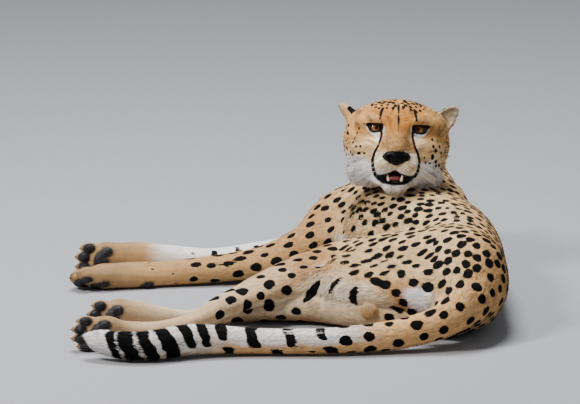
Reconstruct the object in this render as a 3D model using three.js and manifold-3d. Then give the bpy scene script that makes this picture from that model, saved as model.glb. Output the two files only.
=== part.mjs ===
// An adult male cheetah at rest, life size, as a still model.
// It lies on its right side with its back to the right (+X) and all four legs reaching left (-X).
// The neck rises behind the shoulders and turns back, so that the face looks toward -Y, over the flank.
// The long tail sweeps round in front of the body, and its white tip lies on the left hind foot.
// Millimetres, +Z up, floor at Z = 0. Every flesh part is a field of blended tubes and ellipsoids.
import * as THREE from 'three';
import { mergeVertices } from 'three/addons/utils/BufferGeometryUtils.js';
import Module from 'manifold-3d';

const wasm = await Module();
wasm.setup();

// ---------------------------------------------------------------- driving dimensions
const GAP = 0.4; // clearance between neighbouring pieces
const HALF_GAP = GAP / 2;
const REACH = 2000; // size of the blocks that cut pieces at a plane
// Grid cell for each body of flesh, and the share of its triangles that are kept after thinning
const MESH = {
  trunk: [20, 0.2], neck: [16, 0.18], limb: [9.5, 0.1], tail: [12, 0.19],
  head: [8.4, 0.185], jaw: [7, 0.16], ear: [6, 0.27], tongue: [5, 0.35], scrotum: [8, 0.3],
};

// Head frame: across (+X side of the picture plane), ahead (out of the nose), over (crown).
const HEAD_CENTRE = new THREE.Vector3(168, 465, 214);
const HEAD_PITCH = THREE.MathUtils.degToRad(12.7);
const HEAD_ROLL = THREE.MathUtils.degToRad(2.5);

// Eyes, in the head frame
const EYE = { radius: 15.5, across: 37.5, ahead: 25, over: 27, slant: THREE.MathUtils.degToRad(8) };

// ---------------------------------------------------------------- fields
// A field is a distance-like function of a point: negative inside, positive outside.

function catmullRom(rows, steps) {
  const mirrored = (a, b) => a.map((value, i) => 2 * value - b[i]);
  const all = [mirrored(rows[0], rows[1]), ...rows, mirrored(rows.at(-1), rows.at(-2))];
  const out = [];
  for (let i = 1; i < all.length - 2; i++) {
    for (let j = 0; j < steps; j++) {
      const t = j / steps;
      out.push(all[i].map((b, n) => {
        const [a, c, d] = [all[i - 1][n], all[i + 1][n], all[i + 2][n]];
        return 0.5 * (2 * b + (c - a) * t + (2 * a - 5 * b + 4 * c - d) * t * t
          + (3 * b - a - 3 * c + d) * t * t * t);
      }));
    }
  }
  out.push(rows.at(-1));
  return out;
}

// Tube with elliptical sections. A station is [x, y, z, half width along `side`, half depth].
function tube(stations, side, steps = 4) {
  const sides = Array.isArray(side[0]) ? side : stations.map(() => side);
  const rows = catmullRom(stations.map((station, i) => [...station, ...sides[i]]), steps);
  const links = [];
  const box = new THREE.Box3();
  for (const row of rows) {
    const reach = Math.max(row[3], row[4]);
    box.expandByPoint(new THREE.Vector3(row[0] - reach, row[1] - reach, row[2] - reach));
    box.expandByPoint(new THREE.Vector3(row[0] + reach, row[1] + reach, row[2] + reach));
  }
  for (let i = 0; i < rows.length - 1; i++) {
    const [start, end] = [rows[i], rows[i + 1]];
    const from = new THREE.Vector3(...start);
    const along = new THREE.Vector3(...end).sub(from);
    const lengthSq = along.lengthSq();
    const axis = along.clone().normalize();
    const across = new THREE.Vector3(start[5] + end[5], start[6] + end[6], start[7] + end[7]);
    across.addScaledVector(axis, -across.dot(axis)).normalize();
    links.push({ from, along, lengthSq, across, start, end });
  }
  const q = new THREE.Vector3();
  const at = (p) => {
    let nearest = Infinity;
    for (const { from, along, lengthSq, across, start, end } of links) {
      q.subVectors(p, from);
      const h = Math.min(Math.max(q.dot(along) / lengthSq, 0), 1);
      q.addScaledVector(along, -h);
      const s = q.dot(across);
      const width = Math.max(start[3] + (end[3] - start[3]) * h, 1);
      const depth = Math.max(start[4] + (end[4] - start[4]) * h, 1);
      const sq = q.lengthSq();
      const k = Math.sqrt(s * s / (width * width) + Math.max(sq - s * s, 0) / (depth * depth));
      const d = k > 1e-3 ? Math.sqrt(sq) * (1 - 1 / k) : -Math.min(width, depth);
      nearest = Math.min(nearest, d);
    }
    return nearest;
  };
  return { at, box };
}

// Ellipsoid with radii along its own axes.
function ellipsoid(centre, radii, axes = [[1, 0, 0], [0, 1, 0], [0, 0, 1]]) {
  const middle = new THREE.Vector3(...centre);
  const frame = axes.map((axis) => new THREE.Vector3(...axis).normalize());
  const reach = Math.max(...radii);
  const q = new THREE.Vector3();
  const at = (p) => {
    q.subVectors(p, middle);
    const k = Math.sqrt(frame.reduce((sum, axis, i) => sum + (q.dot(axis) / radii[i]) ** 2, 0));
    return k > 1e-3 ? q.length() * (1 - 1 / k) : -Math.min(...radii);
  };
  return { at, box: new THREE.Box3().setFromCenterAndSize(middle, new THREE.Vector3(1, 1, 1).multiplyScalar(2 * reach)) };
}

function smoothMin(a, b, k) {
  const h = k > 0 ? Math.max(k - Math.abs(a - b), 0) / k : 0;
  return Math.min(a, b) - h * h * k / 4;
}

// Join fields one after another; each entry is [field, width of the fillet where it joins].
function join(entries) {
  const box = new THREE.Box3();
  for (const [field] of entries) box.union(field.box);
  const at = (p) => entries.reduce((value, [field, k]) => smoothMin(value, field.at(p), k), 1e3);
  return { at, box };
}

// A limb with the fillet to its neighbour, kept only near the limb itself.
function withFillet(limb, neighbour, k, margin = 7) {
  const at = (p) => {
    const own = limb.at(p);
    return Math.max(smoothMin(own, neighbour.at(p), k), own - margin);
  };
  return { at, box: limb.box.clone().expandByScalar(margin) };
}

// ---------------------------------------------------------------- field to closed mesh
// A grid cell's twelve edges, each [axis, offset of its low end], and its six faces as edge rings
const CELL_EDGES = [0, 1, 2].flatMap((axis) => [0, 1, 2, 3].map((n) => {
  const offset = [0, 0, 0];
  offset[(axis + 1) % 3] = n & 1;
  offset[(axis + 2) % 3] = n >> 1;
  return [axis, offset];
}));

function edgeBetween(a, b) {
  const axis = [0, 1, 2].find((n) => a[n] !== b[n]);
  const low = a[axis] < b[axis] ? a : b;
  return CELL_EDGES.findIndex(([way, offset]) => way === axis && offset.every((value, n) => value === low[n]));
}

const CELL_FACES = [0, 1, 2].flatMap((axis) => [0, 1].map((side) => {
  const ring = [[0, 0], [1, 0], [1, 1], [0, 1]].map(([u, v]) => {
    const corner = [0, 0, 0];
    corner[axis] = side;
    corner[(axis + 1) % 3] = u;
    corner[(axis + 2) % 3] = v;
    return corner;
  });
  return { ring, edges: ring.map((corner, n) => edgeBetween(corner, ring[(n + 1) % 4])) };
}));

// Surface net: a grid cell gets one vertex for each sheet of the surface that passes through it,
// and each grid edge that the surface crosses gets one quad.
function netSurface(field, box, cell, shift = 0) {
  const low = box.min.clone().subScalar((1.5 - shift) * cell);
  const size = box.getSize(new THREE.Vector3());
  const [nx, ny, nz] = [size.x, size.y, size.z].map((length) => Math.ceil(length / cell) + 4);
  const strides = [1, nx, nx * ny];
  const at = (i, j, k) => i + nx * j + nx * ny * k;
  const values = new Float64Array(nx * ny * nz);
  const point = new THREE.Vector3();
  for (let k = 0; k < nz; k++) {
    for (let j = 0; j < ny; j++) {
      for (let i = 0; i < nx; i++) {
        const rim = i === 0 || j === 0 || k === 0 || i === nx - 1 || j === ny - 1 || k === nz - 1;
        point.set(low.x + i * cell, low.y + j * cell, low.z + k * cell);
        values[at(i, j, k)] = rim ? cell : field.at(point);
      }
    }
  }
  const vertexOf = new Map(); // 12 * cell + edge: vertex of the sheet through that edge
  const positions = [];
  const addCell = (i, j, k) => {
    const base = at(i, j, k);
    const valueAt = (c) => values[base + c[0] * strides[0] + c[1] * strides[1] + c[2] * strides[2]];
    const crossing = CELL_EDGES.map(([axis, offset]) => {
      const a = valueAt(offset);
      const b = values[base + strides[axis] + offset.reduce((sum, value, n) => sum + value * strides[n], 0)];
      if ((a < 0) === (b < 0)) return null;
      return offset.map((value, n) => value + (n === axis ? a / (a - b) : 0));
    });
    if (crossing.every((place) => place === null)) return;
    const sheet = CELL_EDGES.map((_, n) => n);
    const link = (a, b) => {
      const [from, to] = [sheet[a], sheet[b]];
      sheet.forEach((value, n) => { if (value === from) sheet[n] = to; });
    };
    for (const { ring, edges } of CELL_FACES) {
      const crossed = edges.filter((edge) => crossing[edge]);
      if (crossed.length === 2) link(...crossed);
      if (crossed.length === 4) {
        ring.forEach((corner, n) => { if (valueAt(corner) < 0) link(edges[n], edges[(n + 3) % 4]); });
      }
    }
    for (const name of new Set(sheet.filter((_, n) => crossing[n]))) {
      const members = CELL_EDGES.map((_, n) => n).filter((n) => crossing[n] && sheet[n] === name);
      for (const n of members) vertexOf.set(12 * base + n, positions.length / 3);
      [i, j, k].forEach((cellAt, axis) => {
        const mean = members.reduce((sum, n) => sum + crossing[n][axis], 0) / members.length;
        positions.push(low.getComponent(axis) + (cellAt + mean) * cell);
      });
    }
  };
  for (let k = 0; k < nz - 1; k++) {
    for (let j = 0; j < ny - 1; j++) {
      for (let i = 0; i < nx - 1; i++) addCell(i, j, k);
    }
  }
  const corner = (n) => new THREE.Vector3().fromArray(positions, 3 * n);
  const index = [];
  for (let base = strides[2]; base < values.length - strides[2]; base++) {
    for (let axis = 0; axis < 3; axis++) {
      const inside = values[base] < 0;
      if (inside === (values[base + strides[axis]] < 0)) continue;
      const [u, v] = [strides[(axis + 1) % 3], strides[(axis + 2) % 3]];
      const quad = [[u + v, 3], [v, 2], [0, 0], [u, 1]]
        .map(([back, n]) => vertexOf.get(12 * (base - back) + 4 * axis + n));
      if (!inside) quad.reverse();
      const [a, b, c, d] = quad;
      const shortAC = corner(a).distanceTo(corner(c)) <= corner(b).distanceTo(corner(d));
      index.push(...(shortAC ? [a, b, c, a, c, d] : [b, c, d, b, d, a]));
    }
  }
  const geometry = new THREE.BufferGeometry();
  geometry.setAttribute('position', new THREE.Float32BufferAttribute(positions, 3));
  geometry.setIndex(index);
  settle(geometry, field, box, cell);
  return geometry;
}

// Move each vertex down or up the field's slope until it lies on the surface, by at most half a cell.
function settle(geometry, field, box, cell) {
  const { position } = geometry.attributes;
  const probe = cell / 50;
  const spot = new THREE.Vector3();
  const slope = new THREE.Vector3();
  const step = new THREE.Vector3();
  for (let i = 0; i < position.count; i++) {
    spot.fromBufferAttribute(position, i);
    const start = spot.clone();
    for (let round = 0; round < 3; round++) {
      const value = field.at(spot);
      slope.set(0, 0, 0);
      for (let axis = 0; axis < 3; axis++) {
        step.set(0, 0, 0).setComponent(axis, probe);
        const ahead = field.at(step.add(spot));
        slope.setComponent(axis, (ahead - value) / probe);
      }
      spot.addScaledVector(slope, -value / Math.max(slope.lengthSq(), 0.25));
    }
    if (box.containsPoint(spot) && spot.distanceTo(start) < 0.5 * cell) position.setXYZ(i, spot.x, spot.y, spot.z);
  }
}

// ---------------------------------------------------------------- thinning
// Quadric edge collapse: fewer triangles where the surface is nearly flat
const QUADRIC = [[0, 0], [0, 1], [0, 2], [0, 3], [1, 1], [1, 2], [1, 3], [2, 2], [2, 3], [3, 3]];

function quadricError(q, v) {
  const w = [v.x, v.y, v.z, 1];
  return QUADRIC.reduce((sum, [a, b], n) => sum + (a === b ? 1 : 2) * q[n] * w[a] * w[b], 0);
}

function thin(geometry, share) {
  const index = geometry.index.array;
  const { position } = geometry.attributes;
  const verts = Array.from({ length: position.count }, (_, i) => new THREE.Vector3().fromBufferAttribute(position, i));
  const quadrics = verts.map(() => new Float64Array(10));
  const facesOf = verts.map(() => new Set());
  const faces = [];
  const normalOf = ([a, b, c]) => new THREE.Vector3().subVectors(verts[b], verts[a])
    .cross(new THREE.Vector3().subVectors(verts[c], verts[a]));
  for (let t = 0; t < index.length; t += 3) {
    const face = [index[t], index[t + 1], index[t + 2]];
    const normal = normalOf(face);
    const area = normal.length();
    normal.divideScalar(area || 1);
    const plane = [...normal.toArray(), -normal.dot(verts[face[0]])];
    for (const v of face) {
      facesOf[v].add(faces.length);
      QUADRIC.forEach(([a, b], n) => { quadrics[v][n] += area * plane[a] * plane[b]; });
    }
    faces.push(face);
  }
  const neighbours = (v) => new Set([...facesOf[v]].flatMap((f) => faces[f]).filter((other) => other !== v));
  const stamp = new Uint32Array(verts.length);
  const proposal = (a, b) => {
    const q = quadrics[a].map((value, n) => value + quadrics[b][n]);
    const places = [0, 0.5, 1].map((t) => new THREE.Vector3().lerpVectors(verts[a], verts[b], t));
    const costs = places.map((place) => quadricError(q, place));
    const best = costs.indexOf(Math.min(...costs));
    const length = verts[a].distanceToSquared(verts[b]);
    return { a, b, place: places[best], cost: costs[best] + 1e-3 * length * length, mark: stamp[a] + stamp[b] };
  };
  const queue = [];
  const push = (item) => {
    queue.push(item);
    for (let n = queue.length - 1; n > 0;) {
      const up = (n - 1) >> 1;
      if (queue[up].cost <= queue[n].cost) break;
      [queue[up], queue[n]] = [queue[n], queue[up]];
      n = up;
    }
  };
  const pop = () => {
    const top = queue[0];
    const last = queue.pop();
    if (queue.length > 0) queue[0] = last;
    for (let n = 0; ;) {
      let least = n;
      for (const child of [2 * n + 1, 2 * n + 2]) {
        if (child < queue.length && queue[child].cost < queue[least].cost) least = child;
      }
      if (least === n) break;
      [queue[least], queue[n]] = [queue[n], queue[least]];
      n = least;
    }
    return top;
  };
  verts.forEach((_, v) => neighbours(v).forEach((other) => { if (other > v) push(proposal(v, other)); }));
  let left = faces.length;
  while (left > share * faces.length && queue.length > 0) {
    const { a, b, place, mark } = pop();
    if (mark !== stamp[a] + stamp[b] || facesOf[a].size === 0 || facesOf[b].size === 0) continue;
    const shared = [...facesOf[a]].filter((f) => facesOf[b].has(f));
    const common = [...neighbours(a)].filter((v) => neighbours(b).has(v));
    if (shared.length !== 2 || common.length !== 2) continue;
    const around = [...facesOf[a], ...facesOf[b]].filter((f) => !shared.includes(f));
    const before = around.map((f) => normalOf(faces[f]).normalize());
    const [oldA, oldB] = [verts[a], verts[b]];
    verts[a] = place;
    verts[b] = place;
    const turned = around.some((f, n) => normalOf(faces[f]).normalize().dot(before[n]) < 0.6);
    if (turned) {
      [verts[a], verts[b]] = [oldA, oldB];
      continue;
    }
    for (const f of shared) {
      for (const v of faces[f]) facesOf[v].delete(f);
      faces[f] = null;
      left--;
    }
    for (const f of facesOf[b]) {
      faces[f] = faces[f].map((v) => (v === b ? a : v));
      facesOf[a].add(f);
    }
    facesOf[b].clear();
    quadrics[a] = quadrics[a].map((value, n) => value + quadrics[b][n]);
    stamp[a] += 1;
    stamp[b] += 1;
    for (const v of neighbours(a)) push(proposal(a, v));
  }
  const thinned = new THREE.BufferGeometry();
  thinned.setAttribute('position', new THREE.Float32BufferAttribute(verts.flatMap((v) => v.toArray()), 3));
  thinned.setIndex(faces.filter(Boolean).flat());
  return thinned;
}

// ---------------------------------------------------------------- solids
function toSolid(geometry) {
  const bare = geometry.clone();
  bare.deleteAttribute('normal');
  bare.deleteAttribute('uv');
  const merged = mergeVertices(bare, 1e-3);
  return new wasm.Manifold(new wasm.Mesh({
    numProp: 3,
    vertProperties: new Float32Array(merged.attributes.position.array),
    triVerts: new Uint32Array(merged.index.array),
  }));
}

function toGeometry(solid) {
  const { vertProperties, triVerts } = solid.getMesh();
  const geometry = new THREE.BufferGeometry();
  geometry.setAttribute('position', new THREE.Float32BufferAttribute(vertProperties, 3));
  geometry.setIndex(new THREE.Uint32BufferAttribute(triVerts, 1));
  return geometry;
}

// Whether each directed edge has its one opposite, as a solid's must
function isClosed(geometry) {
  const index = geometry.index.array;
  const edges = new Set();
  for (let t = 0; t < index.length; t += 3) {
    for (let n = 0; n < 3; n++) {
      const edge = `${index[t + n]},${index[t + (n + 1) % 3]}`;
      if (edges.has(edge)) return false;
      edges.add(edge);
    }
  }
  return [...edges].every((edge) => edges.has(edge.split(',').reverse().join(',')));
}

// Solid of a field: the grid is moved by parts of a cell until no two sheets touch along an edge.
function body(field, [cell, share]) {
  for (let shift = 0; shift < 1; shift += 0.09) {
    const geometry = netSurface(field, field.box, cell, shift);
    if (isClosed(geometry)) return toSolid(thin(geometry, share));
  }
  throw new Error('no grid position gives a closed surface');
}

// The same solid with every vertex pushed out, used to cut a neighbour with clearance.
function grow(solid, distance) {
  const geometry = toGeometry(solid);
  geometry.computeVertexNormals();
  const { position, normal } = geometry.attributes;
  for (let i = 0; i < position.count; i++) {
    position.setXYZ(i, position.getX(i) + distance * normal.getX(i),
      position.getY(i) + distance * normal.getY(i), position.getZ(i) + distance * normal.getZ(i));
  }
  geometry.deleteAttribute('normal');
  return toSolid(geometry);
}

// Block whose flat face passes through `point`, filling the side that `direction` points to.
function block(point, direction) {
  const way = new THREE.Vector3(...direction).normalize();
  const geometry = new THREE.BoxGeometry(REACH, REACH, REACH);
  geometry.translate(0, 0, REACH / 2);
  geometry.applyQuaternion(new THREE.Quaternion().setFromUnitVectors(new THREE.Vector3(0, 0, 1), way));
  geometry.translate(...point);
  return toSolid(geometry);
}

const underFloor = block([0, 0, 0], [0, 0, -1]);

// Planes that part one body of flesh into its nodes. Each is { at, along }.
function before(plane) {
  const way = new THREE.Vector3(...plane.along).normalize();
  return block(new THREE.Vector3(...plane.at).addScaledVector(way, -HALF_GAP).toArray(), plane.along);
}

function after(plane) {
  const way = new THREE.Vector3(...plane.along).normalize();
  const back = plane.along.map((value) => -value);
  return block(new THREE.Vector3(...plane.at).addScaledVector(way, HALF_GAP).toArray(), back);
}

// One length of a body of flesh, between two parting planes and above the floor
function stretch(solid, { from = null, to = null }) {
  const ends = [...(from ? [after(from)] : []), ...(to ? [before(to)] : [])];
  return cutBy(solid, [...ends, underFloor]);
}

const cutBy = (solid, cutters) => cutters.reduce((left, cutter) => left.subtract(cutter), solid);

// ---------------------------------------------------------------- body plan: stations and blends
// Side vector of a trunk section rolled toward the belly by so many degrees
function rolled(degrees) {
  const angle = THREE.MathUtils.degToRad(degrees);
  return [-Math.sin(angle), 0, Math.cos(angle)];
}

const trunk = tube([
  [256, 58, 66, 42, 50], // seat bones
  [262, 125, 73, 76, 74], // hips
  [264, 215, 73, 77, 74], // loin
  [254, 305, 74, 79, 82], // waist
  [222, 385, 75, 81, 106], // last ribs
  [196, 455, 75, 81, 116], // deepest chest
  [184, 530, 76, 80, 106], // shoulders
  [188, 600, 96, 60, 82], // front of the chest
], [20, 20, 12, 6, 2, 0, 4, 8].map(rolled), 5);

const neckTube = tube([
  [180, 545, 104, 60, 80],
  [185, 598, 124, 56, 66],
  [187, 610, 160, 52, 55],
  [179, 588, 192, 50, 53],
  [171, 545, 208, 50, 52],
  [168, 510, 214, 50, 52], // back of the skull
], [rolled(8), [-0.7, -0.3, 0.6], [-0.9, -0.2, 0.2], [-1, 0, 0], [-1, 0, 0], [-1, 0, 0]], 5);

// Four toes in a fan ahead of one ball of the foot
function pawEntries({ centre, forward, spread, width, length, thick = 18 }) {
  const ahead = new THREE.Vector3(...forward).normalize();
  const across = new THREE.Vector3(...spread).normalize();
  across.addScaledVector(ahead, -across.dot(ahead)).normalize();
  const normal = new THREE.Vector3().crossVectors(ahead, across);
  const axes = [ahead, across, normal].map((axis) => axis.toArray());
  const ball = ellipsoid(centre, [length * 0.55, width * 0.5, thick], axes);
  const toes = [[-0.36, 0.4], [-0.13, 0.54], [0.13, 0.54], [0.36, 0.4]].map(([side, front]) => {
    const middle = new THREE.Vector3(...centre);
    middle.addScaledVector(across, width * side).addScaledVector(ahead, length * front);
    const tip = middle.clone().addScaledVector(ahead, length * 0.25);
    return { middle, tip, ahead, radii: [length * 0.28, width * 0.155, thick * 0.75], axes };
  });
  return { ball, toes, entries: [[ball, 12], ...toes.map((toe) => [ellipsoid(toe.middle.toArray(), toe.radii, axes), 5])] };
}

const paws = {
  fore_left: pawEntries({ centre: [-297, 402, 20], forward: [-1, -0.16, 0], spread: [0, -0.9, 0.45], width: 50, length: 60 }),
  fore_right: pawEntries({ centre: [-293, 466, 30], forward: [-1, -0.1, 0], spread: [0, 0.15, 1], width: 60, length: 58 }),
  hind_left: pawEntries({ centre: [-284, 0, 26], forward: [-1, -0.12, 0], spread: [0, 0.15, 1], width: 54, length: 58 }),
  hind_right: pawEntries({ centre: [-266, 78, 30], forward: [-1, -0.12, 0], spread: [0, 0.1, 1], width: 58, length: 54 }),
};

const forelegLeft = join([
  [tube([
    [236, 505, 122, 22, 38], // top of the shoulder blade
    [196, 562, 118, 28, 50],
    [148, 598, 102, 32, 50], // point of the shoulder
    [88, 540, 92, 34, 52],
    [34, 474, 60, 30, 40], // elbow
    [-40, 452, 34, 23, 34],
    [-120, 440, 24, 21.5, 28],
    [-200, 426, 19, 19, 24],
    [-228, 420, 19, 20, 25], // wrist
    [-262, 411, 20, 20, 24],
    [-290, 404, 20, 18, 22],
  ], [0, -0.35, 0.94]), 0],
  ...paws.fore_left.entries,
]);

const forelegRight = join([
  [tube([
    [244, 520, 34, 22, 40],
    [198, 572, 42, 30, 50],
    [158, 600, 50, 34, 50], // point of the shoulder
    [92, 568, 42, 36, 46],
    [40, 515, 36, 33, 36], // elbow
    [-40, 503, 29, 28, 30],
    [-120, 494, 23, 23.5, 25],
    [-178, 484, 26, 26, 21],
    [-210, 478, 28, 28, 20],
    [-243, 474, 30, 30, 20], // wrist, on edge
    [-270, 470, 30, 29, 18],
    [-290, 467, 30, 27, 17],
  ], [0, 0.1, 1]), 0],
  ...paws.fore_right.entries,
]);

const hindlegLeft = join([
  [tube([
    [256, 132, 100, 42, 66], // hip
    [206, 180, 98, 44, 72],
    [140, 240, 84, 40, 62],
    [92, 292, 70, 34, 46], // knee
    [42, 250, 66, 30, 46],
    [0, 206, 62, 27, 40],
    [-45, 160, 58, 21, 30],
    [-84, 122, 50, 18, 23],
    [-106, 98, 43, 19, 23], // point of the hock
    [-150, 62, 28, 16, 17],
    [-200, 34, 22, 15.5, 16],
    [-241, 18, 23, 18, 18],
    [-272, 6, 26, 22, 18],
  ], [0, -0.3, 0.95]), 0],
  [tube([ // back of the thigh, from the seat bone to the calf
    [258, 66, 84, 26, 40],
    [212, 80, 80, 34, 48],
    [150, 112, 74, 32, 48],
    [92, 150, 64, 28, 42],
    [40, 180, 58, 24, 30],
    [-20, 158, 54, 14, 18],
    [-80, 104, 44, 8, 10],
  ], [0, -0.5, 0.85]), 20],
  [ellipsoid([118, 204, 76], [66, 52, 32]), 14], // muscle between knee and seat bone
  ...paws.hind_left.entries,
]);

const hindlegRight = join([
  [tube([
    [252, 140, 34, 36, 60], // hip, against the floor
    [215, 190, 35, 38, 66],
    [165, 255, 34, 36, 60],
    [112, 305, 32, 32, 44], // knee
    [60, 268, 30, 30, 38],
    [10, 228, 26, 26, 32],
    [-45, 190, 22, 22, 25],
    [-85, 168, 20, 20, 20],
    [-106, 156, 20, 21, 20], // point of the hock
    [-155, 125, 17, 17, 16],
    [-190, 110, 22, 20, 16],
    [-216, 98, 26, 23, 17],
    [-236, 90, 29, 27, 18],
    [-256, 82, 30, 29, 18],
  ], [0, 0.1, 1]), 0],
  [tube([
    [240, 80, 34, 34, 36],
    [200, 95, 34, 36, 46],
    [140, 122, 33, 34, 46],
    [85, 152, 31, 31, 42],
    [40, 174, 28, 28, 36],
    [-20, 172, 25, 22, 28],
    [-70, 160, 22, 14, 16],
  ], [0, 0.1, 1]), 18],
  [ellipsoid([104, 218, 32], [66, 56, 32]), 14],
  ...paws.hind_right.entries,
]);

const tailTube = tube([
  [292, 100, 76, 36, 36], // root
  [276, 44, 66, 32, 33],
  [244, 8, 50, 29, 30],
  [206, -4, 36, 26.5, 26.5],
  [150, -16, 26, 25, 25],
  [70, -30, 22, 22.5, 22.5],
  [0, -32, 21, 22, 22],
  [-60, -31, 21.5, 22.5, 22.5],
  [-110, -35, 24.5, 24.5, 24.5],
  [-153, -45, 27, 26, 26], // fullest, among the black rings
  [-190, -62, 25, 25, 25],
  [-222, -71, 24, 24, 24],
  [-256, -69, 24.5, 22, 22],
  [-282, -62, 28, 19, 19],
  [-300, -56, 31, 14.5, 14.5], // white tip
], [0, -0.3, 0.95]);

// ---------------------------------------------------------------- head, in its own frame
const ahead0 = new THREE.Vector3(0, -Math.cos(HEAD_PITCH), Math.sin(HEAD_PITCH));
const over0 = new THREE.Vector3(0, Math.sin(HEAD_PITCH), Math.cos(HEAD_PITCH));
const across = new THREE.Vector3(Math.cos(HEAD_ROLL), 0, 0).addScaledVector(over0, -Math.sin(HEAD_ROLL));
const over = over0.clone().multiplyScalar(Math.cos(HEAD_ROLL)).add(new THREE.Vector3(Math.sin(HEAD_ROLL), 0, 0));
const headAxes = [across, ahead0, over];

const turned = ([a, b, c]) => new THREE.Vector3()
  .addScaledVector(across, a).addScaledVector(ahead0, b).addScaledVector(over, c);
const onHead = (place) => turned(place).add(HEAD_CENTRE).toArray();
const headTube = (stations, side) => tube(
  stations.map(([a, b, c, ...halves]) => [...onHead([a, b, c]), ...halves]), turned(side).toArray());
const headBlob = (place, radii, axes = null) => ellipsoid(onHead(place), radii,
  axes ? axes.map((axis) => turned(axis).toArray()) : headAxes.map((axis) => axis.toArray()));

const BOTH = [-1, 1];

const skull = join([
  [headBlob([0, -26, 28], [69, 66, 50]), 0],
  [headBlob([0, -28, 40], [75, 60, 35.5]), 6], // crown
  [headBlob([0, 10, 36], [52, 38, 31]), 18],
  ...BOTH.flatMap((s) => [
    [headTube([[s * 12, 42, 36, 8, 8], [s * 34, 38, 41, 9, 8], [s * 56, 16, 36, 11, 11]], [0, 0, 1]), 14], // brow
    [headBlob([s * EYE.across, 22, EYE.over], [22, 18, 18]), 10],
    [headTube([[s * 28, 44, 2, 13, 13], [s * 50, 20, 2, 17, 17], [s * 58, -20, 6, 20, 22]], [0, 0, 1]), 16],
    [headBlob([s * 62, -24, 20], [20, 28, 30]), 14], // temple, below the ear
    [headBlob([s * 43, -14, -14], [34, 46, 42]), 20], // cheek
    [headBlob([s * 37, -8, -36], [32, 40, 22]), 16], // ruff
  ]),
  [headTube([[0, 36, 30, 19, 18], [0, 58, 12, 18, 17], [0, 74, -4, 15, 15]], [0, 0, 1]), 18], // bridge of the nose
  [headBlob([0, 38, -20], [38, 38, 34]), 16],
  ...BOTH.map((s) => [headBlob([s * 17, 61, -28], [20, 21, 17]), 10]), // whisker pads
  [headBlob([0, 78, -17], [21, 11, 12]), 4], // nose
]);

const jaw = join([
  [headBlob([-1, 54, -65], [17, 17, 12]), 0], // chin
  ...BOTH.map((s) => [
    headTube([[s * 10, 60, -61, 7, 9], [s * 25, 26, -53, 8, 12], [s * 37, -10, -45, 12, 16]], [0, 0, 1]), 9]),
  [headBlob([0, 6, -51], [28, 34, 12]), 9],
]);

const tongue = headTube([[0, 22, -46, 13, 4], [0, 46, -46, 13, 4], [0, 62, -49, 10, 3.2]], [1, 0, 0]);

// A rounded cup that narrows to its tip, scooped out on the side it opens to.
// A station is [across, ahead, over, half width along `side`, half thickness].
function ear({ stations, side, opening, scoop }) {
  const outer = headTube(stations, side);
  const hollow = stations.map(([a, b, c, wide, thick]) => [
    a + opening[0] * scoop, b + opening[1] * scoop, c + opening[2] * scoop, wide * 0.7, thick * 0.8]);
  const inner = headTube(hollow, side);
  return { at: (p) => Math.max(outer.at(p), -inner.at(p)), box: outer.box };
}
const earLeft = ear({ // pricked, open to the front
  stations: [[58, -26, 31, 19, 11], [72, -27, 45, 17.5, 11.5], [82, -28, 55.5, 13.5, 9.5], [89.5, -28, 63, 8, 7]],
  side: [-0.69, 0, 0.72], opening: [0, 1, 0], scoop: 7.5,
});
const earRight = ear({ // turned back, open to the side
  stations: [[-58, -30, 34, 17, 10], [-71, -31, 46, 14.5, 10], [-80, -32, 55, 11, 8.5], [-86.5, -32, 61, 7, 6.5]],
  side: [0.48, -0.76, 0.45], opening: [-0.53, -0.66, -0.53], scoop: 7,
});

// ---------------------------------------------------------------- parting planes
const parting = {
  loin: { at: [264, 178, 75], along: [0, 1, 0] },
  ribs: { at: [252, 305, 75], along: [-0.15, 1, 0] },
  chest: { at: [200, 440, 75], along: [-0.2, 1, 0] },
  elbowLeft: { at: [18, 468, 56], along: [-1, -0.3, 0] },
  wristLeft: { at: [-246, 415, 20], along: [-1, -0.2, 0] },
  elbowRight: { at: [24, 510, 36], along: [-1, -0.2, 0] },
  wristRight: { at: [-240, 474, 30], along: [-1, -0.1, 0] },
  kneeLeft: { at: [74, 280, 68], along: [-1, 0.15, 0] },
  hockLeft: { at: [-104, 100, 43], along: [-1, -0.8, 0] },
  ballLeft: { at: [-246, 16, 24], along: [-1, -0.3, 0] },
  kneeRight: { at: [88, 290, 32], along: [-1, 0.15, 0] },
  hockRight: { at: [-104, 157, 20], along: [-1, -0.6, 0] },
  ballRight: { at: [-240, 89, 29], along: [-1, -0.3, 0] },
  tailMiddle: { at: [110, -23, 24], along: [-1, -0.17, 0] },
  tailEnd: { at: [-110, -34, 24], along: [-1, -0.15, 0] },
};

// ---------------------------------------------------------------- bodies, in order of precedence
const eyes = Object.fromEntries([['left', 1], ['right', -1]].map(([side, s]) => {
  const ball = new THREE.SphereGeometry(EYE.radius, 12, 8);
  ball.translate(...onHead([s * EYE.across, EYE.ahead, EYE.over]));
  return [side, toSolid(ball)];
}));
const lidOpenings = BOTH.map((s) => {
  const [cos, sin] = [Math.cos(EYE.slant), s * Math.sin(EYE.slant)];
  const axes = [[cos, 0, sin], [0, 1, 0], [-sin, 0, cos]];
  return headBlob([s * EYE.across, EYE.ahead + 14, EYE.over], [13, 12, 6.2], axes);
});

// Two long lower canines and the row of incisors between them, rooted in the jaw
function teeth() {
  const plant = (place, radius, height) => {
    const cone = new THREE.ConeGeometry(radius, height, 8);
    cone.rotateX(Math.PI / 2);
    cone.translate(0, 0, height / 2);
    const basis = new THREE.Matrix4().makeBasis(across, ahead0, over).setPosition(...onHead(place));
    return toSolid(cone.applyMatrix4(basis));
  };
  const canines = BOTH.map((s) => plant([s * 12, 60, -56], 3.4, 15));
  const incisors = [-6, -2, 2, 6].map((a) => plant([a, 64, -56], 2, 9));
  return [...canines, ...incisors];
}

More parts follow.
